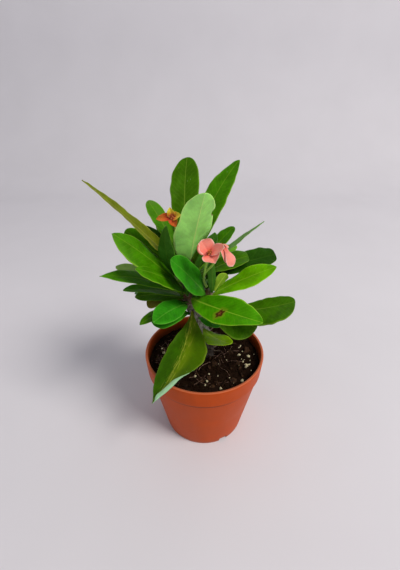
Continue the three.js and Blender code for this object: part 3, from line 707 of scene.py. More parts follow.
def add_spot(add, skin, along, across, grain, spot_along, spot_across, radius):
    """A dry scar: yellowed halo, dark brown ragged star, lighter middle."""
    dx = add("SUBTRACT", along, spot_along)
    dy = add("MULTIPLY", add("SUBTRACT", across, spot_across), 0.65)
    far = add("SQRT", add("ADD", add("POWER", dx, 2.0), add("POWER", dy, 2.0)))
    rays = add("SINE", add("MULTIPLY", add("ARCTAN2", dy, dx), 5.0))
    far = add("ADD", far, add("MULTIPLY", rays, 0.12 * radius))
    far = add("ADD", far, add("MULTIPLY", grain, 2.0))
    skin = add("Mix", add("MapRange", far, radius * 1.1, radius * 1.7, 0.45, 0.0), skin, "#8a9a20")
    skin = add("Mix", add("MapRange", far, radius * 0.8, radius * 1.15, 1.0, 0.0), skin, "#4a2410")
    return add("Mix", add("MapRange", far, radius * 0.35, radius * 0.6, 0.8, 0.0), skin, "#8a5a30")


def plastic_material(values):
    """Injection-moulded polypropylene: even satin skin with faint flow lines, a rim painted lighter as a
    highlight and by rubbing from handling, painted shade with some dust in the corner under the collar, dirt
    round the foot, and soil dust on the inner wall."""
    material, add, where = new_material("Moulded polypropylene")
    flow = add("Mapping", where, None, None, (1.0, 1.0, 0.12))
    streak = add("TexNoise", flow, *lumps(6, 3))
    cloud = add("TexNoise", where, *lumps(26, 3))
    skin = add("Mix", streak, shade(values, 0.92), shade(values, 1.08))
    skin = add("Mix", add("MapRange", cloud, 0.45, 0.75, 0.0, 0.3), skin, shade(values, 1.3))
    x, y, z = add("SeparateXYZ", where).node.outputs
    skin = add("Mix", add("MapRange", z, 0.0, POT_FOOT_DIRT * MM, 0.2, 0.0), skin, "#8c6a52")
    # The lip painted lighter: partly a painted highlight along the rim, partly rubbing from handling.
    skin = add("Mix", add("MapRange", z, *(k * MM for k in POT_RIM_HIGHLIGHT_AND_RUB), 0.0, 0.24), skin, "#e0a080")
    # Painted shade, with some dust, in the corner under the collar: a much darker copy of the plastic.
    under_collar = add("ABSOLUTE", add("SUBTRACT", z, POT_COLLAR_SHADE_AND_DUST * MM))
    skin = add("Mix", add("MapRange", under_collar, 0.3 * MM, 1.9 * MM, 0.7, 0.0), skin, shade(values, 0.35))
    out = add("SQRT", add("ADD", add("POWER", x, 2.0), add("POWER", y, 2.0)))
    at_foot = add("SUBTRACT", out, add("MULTIPLY", z, POT_CONE_SLOPE))
    inside = add("MapRange", at_foot, *(k * MM for k in POT_CONE), 1, 0)
    dust = add("MULTIPLY", inside, add("MapRange", z, *(k * MM for k in POT_DUST), 0.85, 0.3))
    dust = add("MULTIPLY", dust, add("MapRange", z, *(k * MM for k in POT_DUST_FOOT)))
    skin = add("Mix", dust, skin, "#3c2410")
    roughness = add("MapRange", cloud, 0.2, 0.8, 0.38, 0.5)
    return finish(material, skin, roughness, add("TexNoise", where, *lumps(0.9, 2)), 0.03, {
        "IOR": 1.49, "Specular IOR Level": 0.14, "Specular Tint": (1.0, 0.65, 0.3)})


def peat_material(values):
    """Moist peat: nearly black brown, dull, with lighter dry crumbs."""
    material, add, where = new_material("Moist peat")
    coarse = add("TexNoise", where, *lumps(4, 5, 0.7))
    fine = add("TexNoise", where, *lumps(0.8, 3))
    skin = add("Mix", coarse, shade(values, 0.35), shade(values, 1.5))
    skin = add("Mix", add("MapRange", fine, 0.6, 0.75, 0.0, 0.35), skin, "#402410")
    roughness = add("MapRange", coarse, 0.3, 0.7, 0.7, 0.95)
    return finish(material, skin, roughness, fine, 0.5, {"Specular IOR Level": 0.06})


def grain_material(name, dark, pale, roughness, size):
    """A grain's own colour between two, in patches of that size in millimetres."""
    material, add, where = new_material(name)
    skin = add("Mix", add("MapRange", add("TexNoise", where, *lumps(size, 3)), 0.35, 0.65), dark, pale)
    relief = add("TexNoise", where, *lumps(0.6, 2))
    return finish(material, skin, roughness, relief, 0.15, {"Specular IOR Level": 0.15})


def bark_material(old, young):
    """Living bark: dry, silver-grey and cracked, darker towards its foot and brown near its top, with leaf
    scars. The bark attribute holds the scars and the cracks."""
    material, add, where = new_material("Living bark")
    scar, crack, _ = mesh_values(add, "bark")
    _, _, z = add("SeparateXYZ", where).node.outputs
    long_grain = add("Mapping", where, None, None, (1.0, 1.0, 0.3))
    fibre = add("TexNoise", long_grain, *lumps(1.6, 4, 0.65))
    patch = add("TexNoise", where, *lumps(7, 3))
    height = add("ADD", z, add("MULTIPLY", patch, 0.03))
    skin = add("Mix", add("MapRange", height, *(k * MM for k in BARK_YOUNG)), old, young)
    skin = add("Mix", add("MapRange", fibre, 0.25, 0.6), "#4a3f36", skin)
    skin = add("Mix", add("MapRange", patch, 0.5, 0.7, 0.0, 0.5), skin, "#b9b4ab")
    skin = add("Mix", add("MULTIPLY", scar, 0.8), skin, "#5a3c28")
    skin = add("Mix", add("MULTIPLY", crack, 0.6), skin, "#2e241c")
    # Darker towards the stem's foot, near the soil.
    darker_foot = add("MapRange", height, *(k * MM for k in BARK_DARK_FOOT), 0.85, 0.0)
    skin = add("Mix", darker_foot, skin, "#2c1d12")
    return finish(material, skin, 0.8, fibre, 0.5, {"Specular IOR Level": 0.3})


def thorn_material(values):
    """Dry thorn: hard and slightly shiny, brown at its foot, grey along its length, dark at its point."""
    material, add, where = new_material("Dry thorn")
    reach, _, _ = mesh_values(add, "reach")
    skin = add("Mix", add("MapRange", reach, 0.0, 0.3), "#5a3f2c", values)
    skin = add("Mix", add("MapRange", reach, 0.7, 1.0), skin, "#2c1e18")
    return finish(material, skin, 0.5, add("TexNoise", where, *lumps(0.7, 2)), 0.08)


def bract_material(name, rim, face, throat, tip, tip_share):
    """Bract tissue: soft, velvety and slightly translucent, paler on its inner face, with painted shade that
    turns it darker red towards its foot and darkest deep in the throat, with fine veins that fan out and a
    tip of another colour. The unit attribute holds t, s and how much of that colour the bract has, and the
    blade attribute's third value is 1 on the inner face."""
    material, add, where = new_material(name)
    t, s, ripe = mesh_values(add, "unit")
    _, _, inner = mesh_values(add, "blade")
    mottle = add("TexNoise", where, *lumps(3, 3))
    skin = add("Mix", mottle, shade(rim, 0.85), shade(rim, 1.15))
    skin = add("Mix", add("MULTIPLY", inner, 0.3), skin, face)
    fan = add("MULTIPLY", s, 9.0)
    vein = add("MapRange", add("PINGPONG", fan, 0.5), 0.0, 0.2, 1.0, 0.0)
    skin = add("Mix", add("MULTIPLY", vein, 0.12), skin, throat)
    # Painted shade: darker red towards each bract's foot, darkest deep in the throat where the bracts meet.
    skin = add("Mix", add("MapRange", t, 0.05, 0.55, 0.7, 0.0), skin, shade(throat, 1.8))
    skin = add("Mix", add("MapRange", t, 0.04, 0.25, 0.9, 0.0), skin, shade(throat, 0.5))
    edge = add("MapRange", add("ABSOLUTE", s), 0.8, 0.97, 0.0, 0.8)
    ends = add("MAXIMUM", add("MapRange", t, 1 - tip_share, 1 - 0.3 * tip_share), edge)
    skin = add("Mix", add("MULTIPLY", ends, ripe), skin, tip)
    relief = add("ADD", mottle, add("MULTIPLY", vein, -0.4))
    return finish(material, skin, 0.45, relief, 0.15, {
        "Sheen Weight": 0.15, "Specular IOR Level": 0.25, "Subsurface Weight": 0.15,
        "Subsurface Radius": (1.0, 0.5, 0.4), "Subsurface Scale": 0.5 * MM})


def tissue_material(name, low, high, size, roughness):
    """Smooth living tissue, mottled between two colours in patches of that size in millimetres."""
    material, add, where = new_material(name)
    skin = add("Mix", add("MapRange", add("TexNoise", where, *lumps(size, 3)), 0.3, 0.7), low, high)
    return finish(material, skin, roughness, add("TexNoise", where, *lumps(0.8, 2)), 0.08, {
        "Subsurface Weight": 0.1, "Subsurface Scale": 1.0 * MM})


# ---------------------------------------------------------------- Pot


def band_foot(pot):
    """Height of the collar's foot."""
    return pot["height"] - pot["band"]


def pot_radius(pot, z):
    """Radius of the pot's outer wall: a straight line from the foot to the collar's foot."""
    top = pot["rim_radius"] - POT_BAND_DRAFT - POT_BAND_STEP
    return pot["base_radius"] + (top - pot["base_radius"]) * z / band_foot(pot)


def sizes_of(group):
    """A property group's lengths in millimetres and its other values as they are."""
    found = {}
    for key in type(group).__annotations__:
        value = getattr(group, key)
        found[key] = value / MM if isinstance(value, float) else value
    return found


def rounded(profile, steps=5):
    """A profile whose corners are rounded: each is a quadratic Bezier from one side to the next, as long as
    the corner's third value."""
    corners, radii = profile[:, :2], profile[:, 2]
    u = np.linspace(0, 1, steps)[:, None]
    out = [corners[:1]]
    for before, corner, after, radius in zip(corners, corners[1:], corners[2:], radii[1:]):
        start = corner + (before - corner) * min(radius / np.linalg.norm(before - corner), 0.45)
        end = corner + (after - corner) * min(radius / np.linalg.norm(after - corner), 0.45)
        out.append((1 - u) ** 2 * start + 2 * u * (1 - u) * corner + u ** 2 * end)
    out.append(corners[-1:])
    return np.concatenate(out)


def divided(profile, step):
    """The same profile with points added, so that no stretch is longer than the step."""
    out = [profile[:1]]
    for start, end in zip(profile, profile[1:]):
        count = max(1, math.ceil(np.linalg.norm(end - start) / step))
        out.append(start + (end - start) * (np.arange(1, count + 1) / count)[:, None])
    return np.concatenate(out)


def turned(profile, sides):
    """A body of revolution: a ring for each point of a profile of radii and heights, whose first and last
    points lie on the axis and close it."""
    rings = rings_about_z(profile[1:-1, :1], profile[1:-1, 1:], sides)
    return closed_rings(rings, [[0, 0, profile[0, 1]], [0, 0, profile[-1, 1]]])


def cut_notches(piece, pot):
    """Cuts the drain slots where the wall meets the floor, with one box for each."""
    box = bpy.data.meshes.new("slots")
    half = POT_NOTCH_WIDTH / 2
    corner = np.array([[x, y, z] for x in (-half, half) for y in (-half, half)
                       for z in (-POT_NOTCH_HEIGHT, POT_NOTCH_HEIGHT)], float)
    corner[:, 0] += pot["base_radius"]
    turn = math.radians(POT_NOTCH_TURN) + np.arange(POT_NOTCHES) * 2 * math.pi / POT_NOTCHES
    x = corner[:, 0] * np.cos(turn)[:, None] - corner[:, 1] * np.sin(turn)[:, None]
    y = corner[:, 0] * np.sin(turn)[:, None] + corner[:, 1] * np.cos(turn)[:, None]
    points = np.stack([x, y, np.broadcast_to(corner[:, 2], x.shape)], -1).reshape(-1, 3) * MM
    sides = np.array([[0, 1, 3, 2], [4, 6, 7, 5], [0, 4, 5, 1], [2, 3, 7, 6], [0, 2, 6, 4], [1, 5, 7, 3]])
    faces = (sides + 8 * np.arange(POT_NOTCHES)[:, None, None]).reshape(-1, 4)
    box.from_pydata(points.tolist(), [], faces.tolist())
    cutter = bpy.data.objects.new("slots", box)
    bpy.context.scene.collection.objects.link(cutter)
    cut = piece.modifiers.new("slots", "BOOLEAN")
    cut.operation = "DIFFERENCE"
    cut.solver = "EXACT"
    cut.object = cutter
    found = piece.evaluated_get(bpy.context.evaluated_depsgraph_get())
    finished = bpy.data.meshes.new_from_object(found)
    piece.modifiers.clear()
    piece.data = finished
    finished.set_sharp_from_angle(angle=math.radians(POT_SHARP))
    bpy.data.objects.remove(cutter)


def make_pot(pot, material):
    """The pot: a turned wall with a collar, a flat lip, a floor on a foot ring, and drain slots."""
    collar = band_foot(pot)
    outer = pot_radius(pot, collar)
    ring = pot["base_radius"] - POT_RING
    floor_top = POT_RECESS + pot["floor"]
    # Radius and height of each corner, and how round it is.
    corners = [
        (0, 0, 0), (POT_BOSS, 0, 0.3), (POT_BOSS + POT_EDGE, POT_RECESS, 0.3), (ring, POT_RECESS, 0.5),
        (ring + POT_EDGE, 0, 0.3), (pot["base_radius"], 0, 0.9), (outer, collar, 0.5),
        (pot["rim_radius"] - POT_BAND_DRAFT, collar + POT_EDGE / 2, 0.6),
        (pot["rim_radius"], pot["height"], 1.1), (pot["rim_radius"] - pot["lip"], pot["height"], 0.9),
        (outer - pot["wall"], collar - POT_TAPER_TOP, 3),
        (pot_radius(pot, floor_top) - pot["wall"], floor_top, 1.5), (0, floor_top, 0),
    ]
    mesh = turned(divided(rounded(np.array(corners)), POT_STEP), POT_SIDES)
    cut_notches(make_piece("nursery_pot", *mesh, material, "pot_plastic", ["pot"]), pot)


# ---------------------------------------------------------------- Soil


def soil_height(soil, x, y):
    """Height of the soil: a mound round the stem plus long waves."""
    mound = SOIL_MOUND * np.exp(-((x - STEM_X) ** 2 + y ** 2) / SOIL_MOUND_RADIUS ** 2)
    lumps = np.sin(x * 0.31 + 1.3) * np.cos(y * 0.27) + 0.7 * np.sin(x * 0.13 - y * 0.19)
    return soil["level"] + mound + SOIL_RELIEF * lumps


def soil_surface(soil, x, y):
    """The soil's height with its clods and crumbs: shorter waves on top of the long ones."""
    chance = np.random.default_rng(SOIL_SEED)
    return soil_height(soil, x, y) + sum(high * bumps(chance, x, y, size) for size, high in SOIL_CLODS)


def soil_radius(pot, z):
    """The pot's inside radius at a height, less the gap."""
    foot, collar = POT_RECESS + pot["floor"], band_foot(pot)
    heights = [foot, collar - POT_TAPER_TOP, pot["height"] - POT_EDGE]
    radii = [pot_radius(pot, foot) - pot["wall"], pot_radius(pot, collar) - pot["wall"],
             pot["rim_radius"] - pot["lip"]]
    return float(np.interp(z, heights, radii)) - 2 * CLEARANCE


def make_soil(soil, pot, material):
    """The soil plug: rings out from the middle over the rough top, down inside the wall, and closed below."""
    edge = soil_radius(pot, soil["level"] - 4 * SOIL_RELIEF)
    top = rings_about_z(edge * (np.arange(1, SOIL_RINGS + 1) / SOIL_RINGS)[:, None], 0.0, SOIL_SIDES)
    top[..., 2] = soil_surface(soil, top[..., 0], top[..., 1])
    foot = POT_RECESS + pot["floor"] + CLEARANCE
    heights = np.array([[band_foot(pot) - POT_TAPER_TOP], [foot]])
    walls = rings_about_z(np.array([[soil_radius(pot, z)] for z, in heights]), heights, SOIL_SIDES)
    ends = [[0, 0, float(soil_surface(soil, np.array(0.0), np.array(0.0)))], [0, 0, foot]]
    mesh = closed_rings(np.concatenate([top, walls]), ends, down=True)
    make_piece("soil_plug", *mesh, material, "soil", ["soil"])


ICO = (1 + math.sqrt(5)) / 2
ICO_POINTS = np.array([[-1, ICO, 0], [1, ICO, 0], [-1, -ICO, 0], [1, -ICO, 0], [0, -1, ICO], [0, 1, ICO],
                       [0, -1, -ICO], [0, 1, -ICO], [ICO, 0, -1], [ICO, 0, 1], [-ICO, 0, -1], [-ICO, 0, 1]])
ICO_FACES = np.array([[0, 11, 5], [0, 5, 1], [0, 1, 7], [0, 7, 10], [0, 10, 11], [1, 5, 9], [5, 11, 4],
                      [11, 10, 2], [10, 7, 6], [7, 1, 8], [3, 9, 4], [3, 4, 2], [3, 2, 6], [3, 6, 8],
                      [3, 8, 9], [4, 9, 5], [2, 4, 11], [6, 2, 10], [8, 6, 7], [9, 8, 1]])


def grains(chance, centres, sizes, flatness, roughness):
    """Angular grains: an icosahedron for each, with its corners moved at random, squashed along one axis,
    turned by a random rotation and put at its centre."""
    n = len(centres)
    body = ICO_POINTS / np.linalg.norm(ICO_POINTS[0])
    body = body * (1 + roughness * chance.uniform(-1, 1, (n, 12, 1)))
    stretch = np.stack([chance.uniform(0.8, 1.4, n), chance.uniform(0.7, 1.0, n),
                        flatness * chance.uniform(0.7, 1.2, n)], -1)
    body = body * stretch[:, None] * sizes[:, None, None]
    q = chance.normal(size=(n, 4)) * np.array([1.0, 0.35, 0.35, 1.0])
    w, a, b, c = (q / np.linalg.norm(q, axis=1, keepdims=True)).T
    turn = np.stack([
        np.stack([1 - 2 * (b * b + c * c), 2 * (a * b - c * w), 2 * (a * c + b * w)], -1),
        np.stack([2 * (a * b + c * w), 1 - 2 * (a * a + c * c), 2 * (b * c - a * w)], -1),
        np.stack([2 * (a * c - b * w), 2 * (b * c + a * w), 1 - 2 * (a * a + b * b)], -1)], 1)
    points = np.einsum("nij,nkj->nki", turn, body) + centres[:, None]
    faces = (ICO_FACES + 12 * np.arange(n)[:, None, None]).reshape(-1, 3)
    return points.reshape(-1, 3), NO_QUADS, faces


def on_soil(chance, soil, pot, count, lift, inset=3.0, middle=None, spread=None):
    """Seeded places on the soil, even over its area, or thinning out round a middle."""
    edge = soil_radius(pot, soil["level"]) - inset
    if middle:
        x, y = (at + chance.normal(0, wide, count) for at, wide in zip(middle, spread))
        back = np.minimum(1, edge / np.hypot(x, y))
        x, y = x * back, y * back
    else:
        radius = edge * np.sqrt(chance.uniform(0.02, 1, count))
        angle = chance.uniform(0, 2 * math.pi, count)
        x, y = radius * np.cos(angle), radius * np.sin(angle)
    return np.stack([x, y, soil_surface(soil, x, y) + lift], -1)


def make_grains(soil, pot, peat):
    """What lies on the soil: peat crumbs, bark chips, perlite and root fibres."""
    chance = np.random.default_rng(GRAIN_SEED)
    scatter = partial(on_soil, chance, soil, pot)
    sizes = chance.uniform(*CRUMB_SIZES, soil["crumbs"])
    made = grains(chance, scatter(soil["crumbs"], 0.2), sizes, 0.7, 0.25)
    make_piece("peat_crumbs", *made, peat, "soil", smooth=False)
    sizes = chance.uniform(*CHIP_SIZES, CHIPS)
    made = grains(chance, scatter(CHIPS, 0.6, 5), sizes, 0.3, 0.2)
    bark = grain_material("Composted bark", "#1c1008", "#3c2612", 0.8, 2)
    make_piece("bark_chips", *made, bark, "soil", smooth=False)
    places = np.concatenate([scatter(*drift) for drift in PERLITE])
    made = grains(chance, places, 0.5 + 1.6 * chance.uniform(0, 1, len(places)) ** 2, 0.75, 0.3)
    perlite = grain_material("Perlite", shade(soil["perlite"], 0.6), soil["perlite"], 0.7, 1.5)
    make_piece("perlite_grains", *made, perlite, "soil", smooth=False)
    middles = np.concatenate([scatter(*drift) for drift in FIBRES])
    fibre = grain_material("Dry root fibre", "#4a3026", "#9a7c6c", 0.8, 4)
    make_piece("root_fibres", *fibres(chance, soil, middles), fibre, "soil")


def fibres(chance, soil, middles):
    """Thin root fibres lying on the soil: arcs whose middles rise a little, as slim tubes."""
    parts = []
    for centre in middles:
        reach = chance.uniform(4, 11)
        angle = chance.uniform(0, 2 * math.pi)
        u = np.linspace(-1, 1, 9)
        bow = chance.uniform(-3, 3) * (1 - u ** 2)
        x = centre[0] + reach * u * math.cos(angle) - bow * math.sin(angle)
        y = centre[1] + reach * u * math.sin(angle) + bow * math.cos(angle)
        z = soil_surface(soil, x, y) + 0.5 + chance.uniform(0, 1.6) * (1 - u ** 2)
        parts.append(tube(np.stack([x, y, z], -1), chance.uniform(0.14, 0.3), 4))
    return joined(parts)


# ---------------------------------------------------------------- Stem


def stem_axis(stem, z):
    """Middle of a stem at each height: the main stem leans over by an eased step, the shoot is straight."""
    z = np.asarray(z, float)
    main_x = STEM_X + STEM_LEAN * ease((z - STEM_LEAN_START) / STEM_LEAN_RISE)
    if stem == "main":
        return np.stack([main_x, np.zeros_like(z), z], -1)
    k = (z - FORK_Z) / (SHOOT_TOP - 2 - FORK_Z)
    fork_x = STEM_X + STEM_LEAN * ease((FORK_Z - STEM_LEAN_START) / STEM_LEAN_RISE)
    return np.stack([fork_x + (SHOOT_X - fork_x) * k, SHOOT_Y * k, z], -1)


def stem_radius(stem, z):
    """Radius of a stem at each height."""
    if stem == "main":
        return np.interp(z, [STEM_FOOT, STEM_TOP], [STEM_FOOT_RADIUS, STEM_TOP_RADIUS])
    return np.interp(z, [FORK_Z, SHOOT_TOP], [SHOOT_FOOT_RADIUS, SHOOT_TOP_RADIUS])


def bark_tube(stem, low, high, rows, thorns):
    """A stem's bark: a ring at each height whose radius is the stem's, eased in at both ends, plus a
    swelling where the leaves stand close, plus a low cushion with a sunken scar where each leaf fell, plus
    seeded cracks along the stem. Returns its mesh and the two masks."""
    z = np.linspace(low, high, rows)
    angle = np.linspace(0, 2 * math.pi, STEM_SIDES, endpoint=False)[None, :]
    taper = np.minimum(0.45 + 0.55 * ease((z - low) / 14), 0.55 + 0.45 * ease((high - z) / 5))
    radius = (stem_radius(stem, z) * taper)[:, None] * np.ones(STEM_SIDES)
    cushion, scar = np.zeros_like(radius), np.zeros_like(radius)
    for height, turn in [(height, turn) for name, height, turn, _ in thorns if name == stem]:
        across = np.angle(np.exp(1j * (angle - turn))) * radius
        up = (z - height)[:, None]
        for mark, (wide, tall, _) in ((cushion, CUSHION), (scar, LEAF_SCAR)):
            np.maximum(mark, np.exp(-(across / wide) ** 2 - (up / tall) ** 2), out=mark)
    chance = np.random.default_rng(BARK_SEEDS[stem])
    crack = np.zeros_like(radius)
    for _ in range(CRACK_WAVES):
        waves = chance.integers(5, 12)
        slope = chance.uniform(0.15, 0.4) * z[:, None] * chance.choice([-1, 1])
        crack += np.sin(waves * angle + slope + chance.uniform(0, 6))
    crack = np.clip(crack / 3 - 0.25, 0, 1) * (1 - cushion)
    radius = radius + CUSHION[2] * cushion - LEAF_SCAR[2] * scar - CRACK_DEPTH * crack
    radius = radius + BARK_SWELL * (ease((z - BARK_SWELL_FROM) / 20) * ease((high - z) / 14))[:, None]
    axis = stem_axis(stem, z)
    rings = rings_about_z(radius, z[:, None], STEM_SIDES) + (axis * [1, 1, 0])[:, None]
    masks = np.stack([scar.ravel(), crack.ravel(), np.zeros(scar.size)], -1)
    masks = np.concatenate([masks, np.zeros((2, 3))])
    return closed_rings(rings, [axis[0] - [0, 0, 0.3], axis[-1] + [0, 0, 0.8]]), masks


def thorn(stem, z, azimuth, reach, radius):
    """A thorn: a slim cone that bends upwards, its foot sunk into the stem."""
    u = np.linspace(0, 1, THORN_RINGS)
    foot = float(stem_radius(stem, z)) - THORN_SUNK
    out = foot + reach * u * math.cos(math.radians(THORN_TILT))
    up = reach * u * math.sin(math.radians(THORN_TILT)) + 0.06 * reach * u * (u - 1)
    axis = stem_axis(stem, z)
    path = axis + np.stack([out * math.cos(azimuth), out * math.sin(azimuth), up], -1)
    radii = radius * (1.25 * (1 - u) ** 1.15 + 0.04)
    return tube(path, radii, THORN_SIDES)


def thorn_rows(stem, low, high, sizes):
    """Stem, height, direction and length of each pair of thorns, up a spiral."""
    count = int((high - low) // THORN_PITCH)
    for i in range(count):
        size = sizes["low_thorn"] + (sizes["high_thorn"] - sizes["low_thorn"]) * i / count
        yield stem, low + i * THORN_PITCH, math.radians(i * THORN_TURN), size


def make_stem(sizes, bark, horn):
    """Main stem and side shoot with their leaf scars, and the thorns wherever the solid stem has one."""
    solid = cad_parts["stem"].data
    tree = BVHTree.FromPolygons([v.co.copy() for v in solid.vertices],
                                [tuple(p.vertices) for p in solid.polygons])
    rows = [*thorn_rows("main", THORN_LOWEST, STEM_TOP - 6, sizes),
            *thorn_rows("side", FORK_Z + 10, SHOOT_TOP - 2, sizes)]
    parts = []
    for stem, z, turn, size in rows:
        for side in (-1, 1):
            made = thorn(stem, z, turn + side * math.radians(THORN_SPREAD), size, sizes["thorn_radius"])
            _, _, _, gap = tree.find_nearest(Vector(made[0][-1] * MM))
            if gap < THORN_MATCH * MM:
                parts.append(made)
    trunk, trunk_masks = bark_tube("main", STEM_BURIED, STEM_TOP, STEM_RINGS, rows)
    shoot, shoot_masks = bark_tube("side", FORK_Z - SHOOT_ROOT, SHOOT_TOP, SHOOT_RINGS, rows)
    make_piece("woody_stem", *joined([trunk, shoot]), bark, "bark", ["stem"],
               {"bark": np.concatenate([trunk_masks, shoot_masks])})
    make_horns("thorns", parts, THORN_RINGS, THORN_SIDES, horn)
    make_spines(horn)


def make_horns(name, parts, rings, sides, horn):
    """Thorns or spines as one piece, whose reach attribute runs from 0 at a foot to 1 at a point."""
    reach = np.concatenate([np.repeat(np.linspace(0, 1, rings), sides), [0, 1]])
    reach = np.tile(reach, len(parts))
    make_piece(name, *joined(parts), horn, "bark", attributes={"reach": np.stack([reach] * 3, -1)})


def make_spines(horn):
    """Thin young spines that crowd the stems between the leaves' feet: slim tapered tubes, each leaning up
    at its own seeded angle from a seeded place on its stem."""
    chance = np.random.default_rng(SPINE_SEED)
    u = np.linspace(0, 1, SPINE_RINGS)
    parts = []
    for stem, low, high, count in SPINES:
        for z, azimuth in zip(chance.uniform(low, high, count), chance.uniform(0, 2 * math.pi, count)):
            size, lean = chance.uniform(4, 8), math.radians(chance.uniform(0, 45))
            foot = float(stem_radius(stem, z)) - THORN_SUNK
            out = foot + (size + BARK_SWELL) * u * math.cos(lean)
            path = stem_axis(stem, z) + np.stack([out * math.cos(azimuth), out * math.sin(azimuth),
                                                  size * u * math.sin(lean)], -1)
            parts.append(tube(path, SPINE_RADIUS * (1.1 - u), SPINE_SIDES))
    make_horns("young_spines", parts, SPINE_RINGS, SPINE_SIDES, horn)


# ---------------------------------------------------------------- Blades: leaves and bracts


def half_width(blade, t):
    """Half-width at t: t to the outline's first power times 1 - t to its second, scaled to the width, plus
    a stalk that fades out."""
    base, tip = OUTLINES[blade["outline"]]
    peak = base / (base + tip)
    u = np.clip(t, 0, 1)
    shape = u ** base * (1 - u) ** tip / (peak ** base * (1 - peak) ** tip)
    return np.maximum(blade["width"] / 2 * shape + LEAF_FOOT * (1 - u) ** 4, 0.35)


def blade_surface(blade, t, s, uneven=1.0):
    """Middle surface of a blade, its upward normal and each point's distance from the midrib. The midrib is
    an arc that starts at the rise and turns by the bend. Across it, a point goes out by its share s of the
    half-width, along a side direction that is rolled about the midrib, and up by the fold and the ripple.
    Then all turns about Z with its distance, by the sweep. uneven scales the half-width."""
    start = math.radians(blade["rise"])
    turn = math.radians(blade["bend"]) or 1e-4
    now = start + turn * t
    along = blade["length"] * (np.sin(now) - math.sin(start)) / turn
    up = -blade["length"] * (np.cos(now) - math.cos(start)) / turn
    roll = np.radians(blade["roll"] + blade["twist"] * t)
    zero = np.zeros_like(now)
    side = np.stack([-np.sin(now) * np.sin(roll), np.cos(roll), np.cos(now) * np.sin(roll)], -1)
    normal = np.stack([-np.sin(now) * np.cos(roll), -np.sin(roll), np.cos(now) * np.cos(roll)], -1)
    kept = np.where(s > 0, 1 - blade["trim"] * ease((t - TRIM_FROM) / TRIM_REACH), 1.0)
    half = half_width(blade, t) * kept * uneven
    if blade.get("nick"):
        where, middle, depth, spread = blade["nick"]
        bite = depth * np.exp(-((t - middle) / spread) ** 2) * (np.sign(s) == where) * np.abs(s) ** 3
        half = half - bite
    across = half * s
    angle = np.zeros_like(half)
    over_out, over_lift = angle, angle
    if blade.get("flap"):
        s, across, angle, over_out, over_lift = rolled_over(blade, t, s, half)
    fold = math.radians(blade["fold"])
    ripple = WAVE * np.sin(2 * math.pi * RIPPLES * t + 1.3 * s)
    lift = half * (math.sin(fold) * np.abs(s) ** 1.4 + ripple * s * s) + over_lift
    out = half * math.cos(fold) * (s + blade["skew"] / 100 * s * s) + over_out
    point = np.stack([along, zero, up], -1) + side * out[..., None] + normal * lift[..., None]
    normal = normal * np.cos(angle)[..., None] - side * np.sin(angle)[..., None]
    swing = math.radians(blade["sweep"]) * np.linalg.norm(point, axis=-1) / blade["length"]
    x = point[..., 0] * np.cos(swing) - point[..., 1] * np.sin(swing)
    y = point[..., 0] * np.sin(swing) + point[..., 1] * np.cos(swing)
    return np.stack([x, y, point[..., 2]], -1), normal, across


def rolled_over(blade, t, s, half):
    """Rolls the left margin up and over. The sheet is lengthened, and what lies beyond one radius inside the
    margin goes round an arc of nearly half a turn and then straight back towards the midrib. Returns the
    share s of what stays flat, the distance across the sheet, the angle turned, and what the arc adds
    outwards and upwards."""
    begin, wide, radius = blade["flap"]
    strength = ease((t - begin) / 0.15) * ease((1 - t) / 0.1) * (s > 0)
    round_radius = np.maximum(radius * strength, 1e-3)
    most = 0.95 * math.pi
    flat = half - round_radius
    whole = flat + most * round_radius + wide * strength
    distance = np.where(s > 0, s * whole, s * half)
    over = np.where(strength > 0, np.clip(distance - flat, 0, None), 0)
    angle = np.minimum(over / round_radius, most)
    rest = np.clip(over - most * round_radius, 0, None)
    out = round_radius * np.sin(angle) + rest * math.cos(most)
    lift = round_radius * (1 - np.cos(angle)) + rest * math.sin(most)
    kept = np.where(strength > 0, np.minimum(distance, flat) / half, s)
    return kept, distance, angle, out, lift


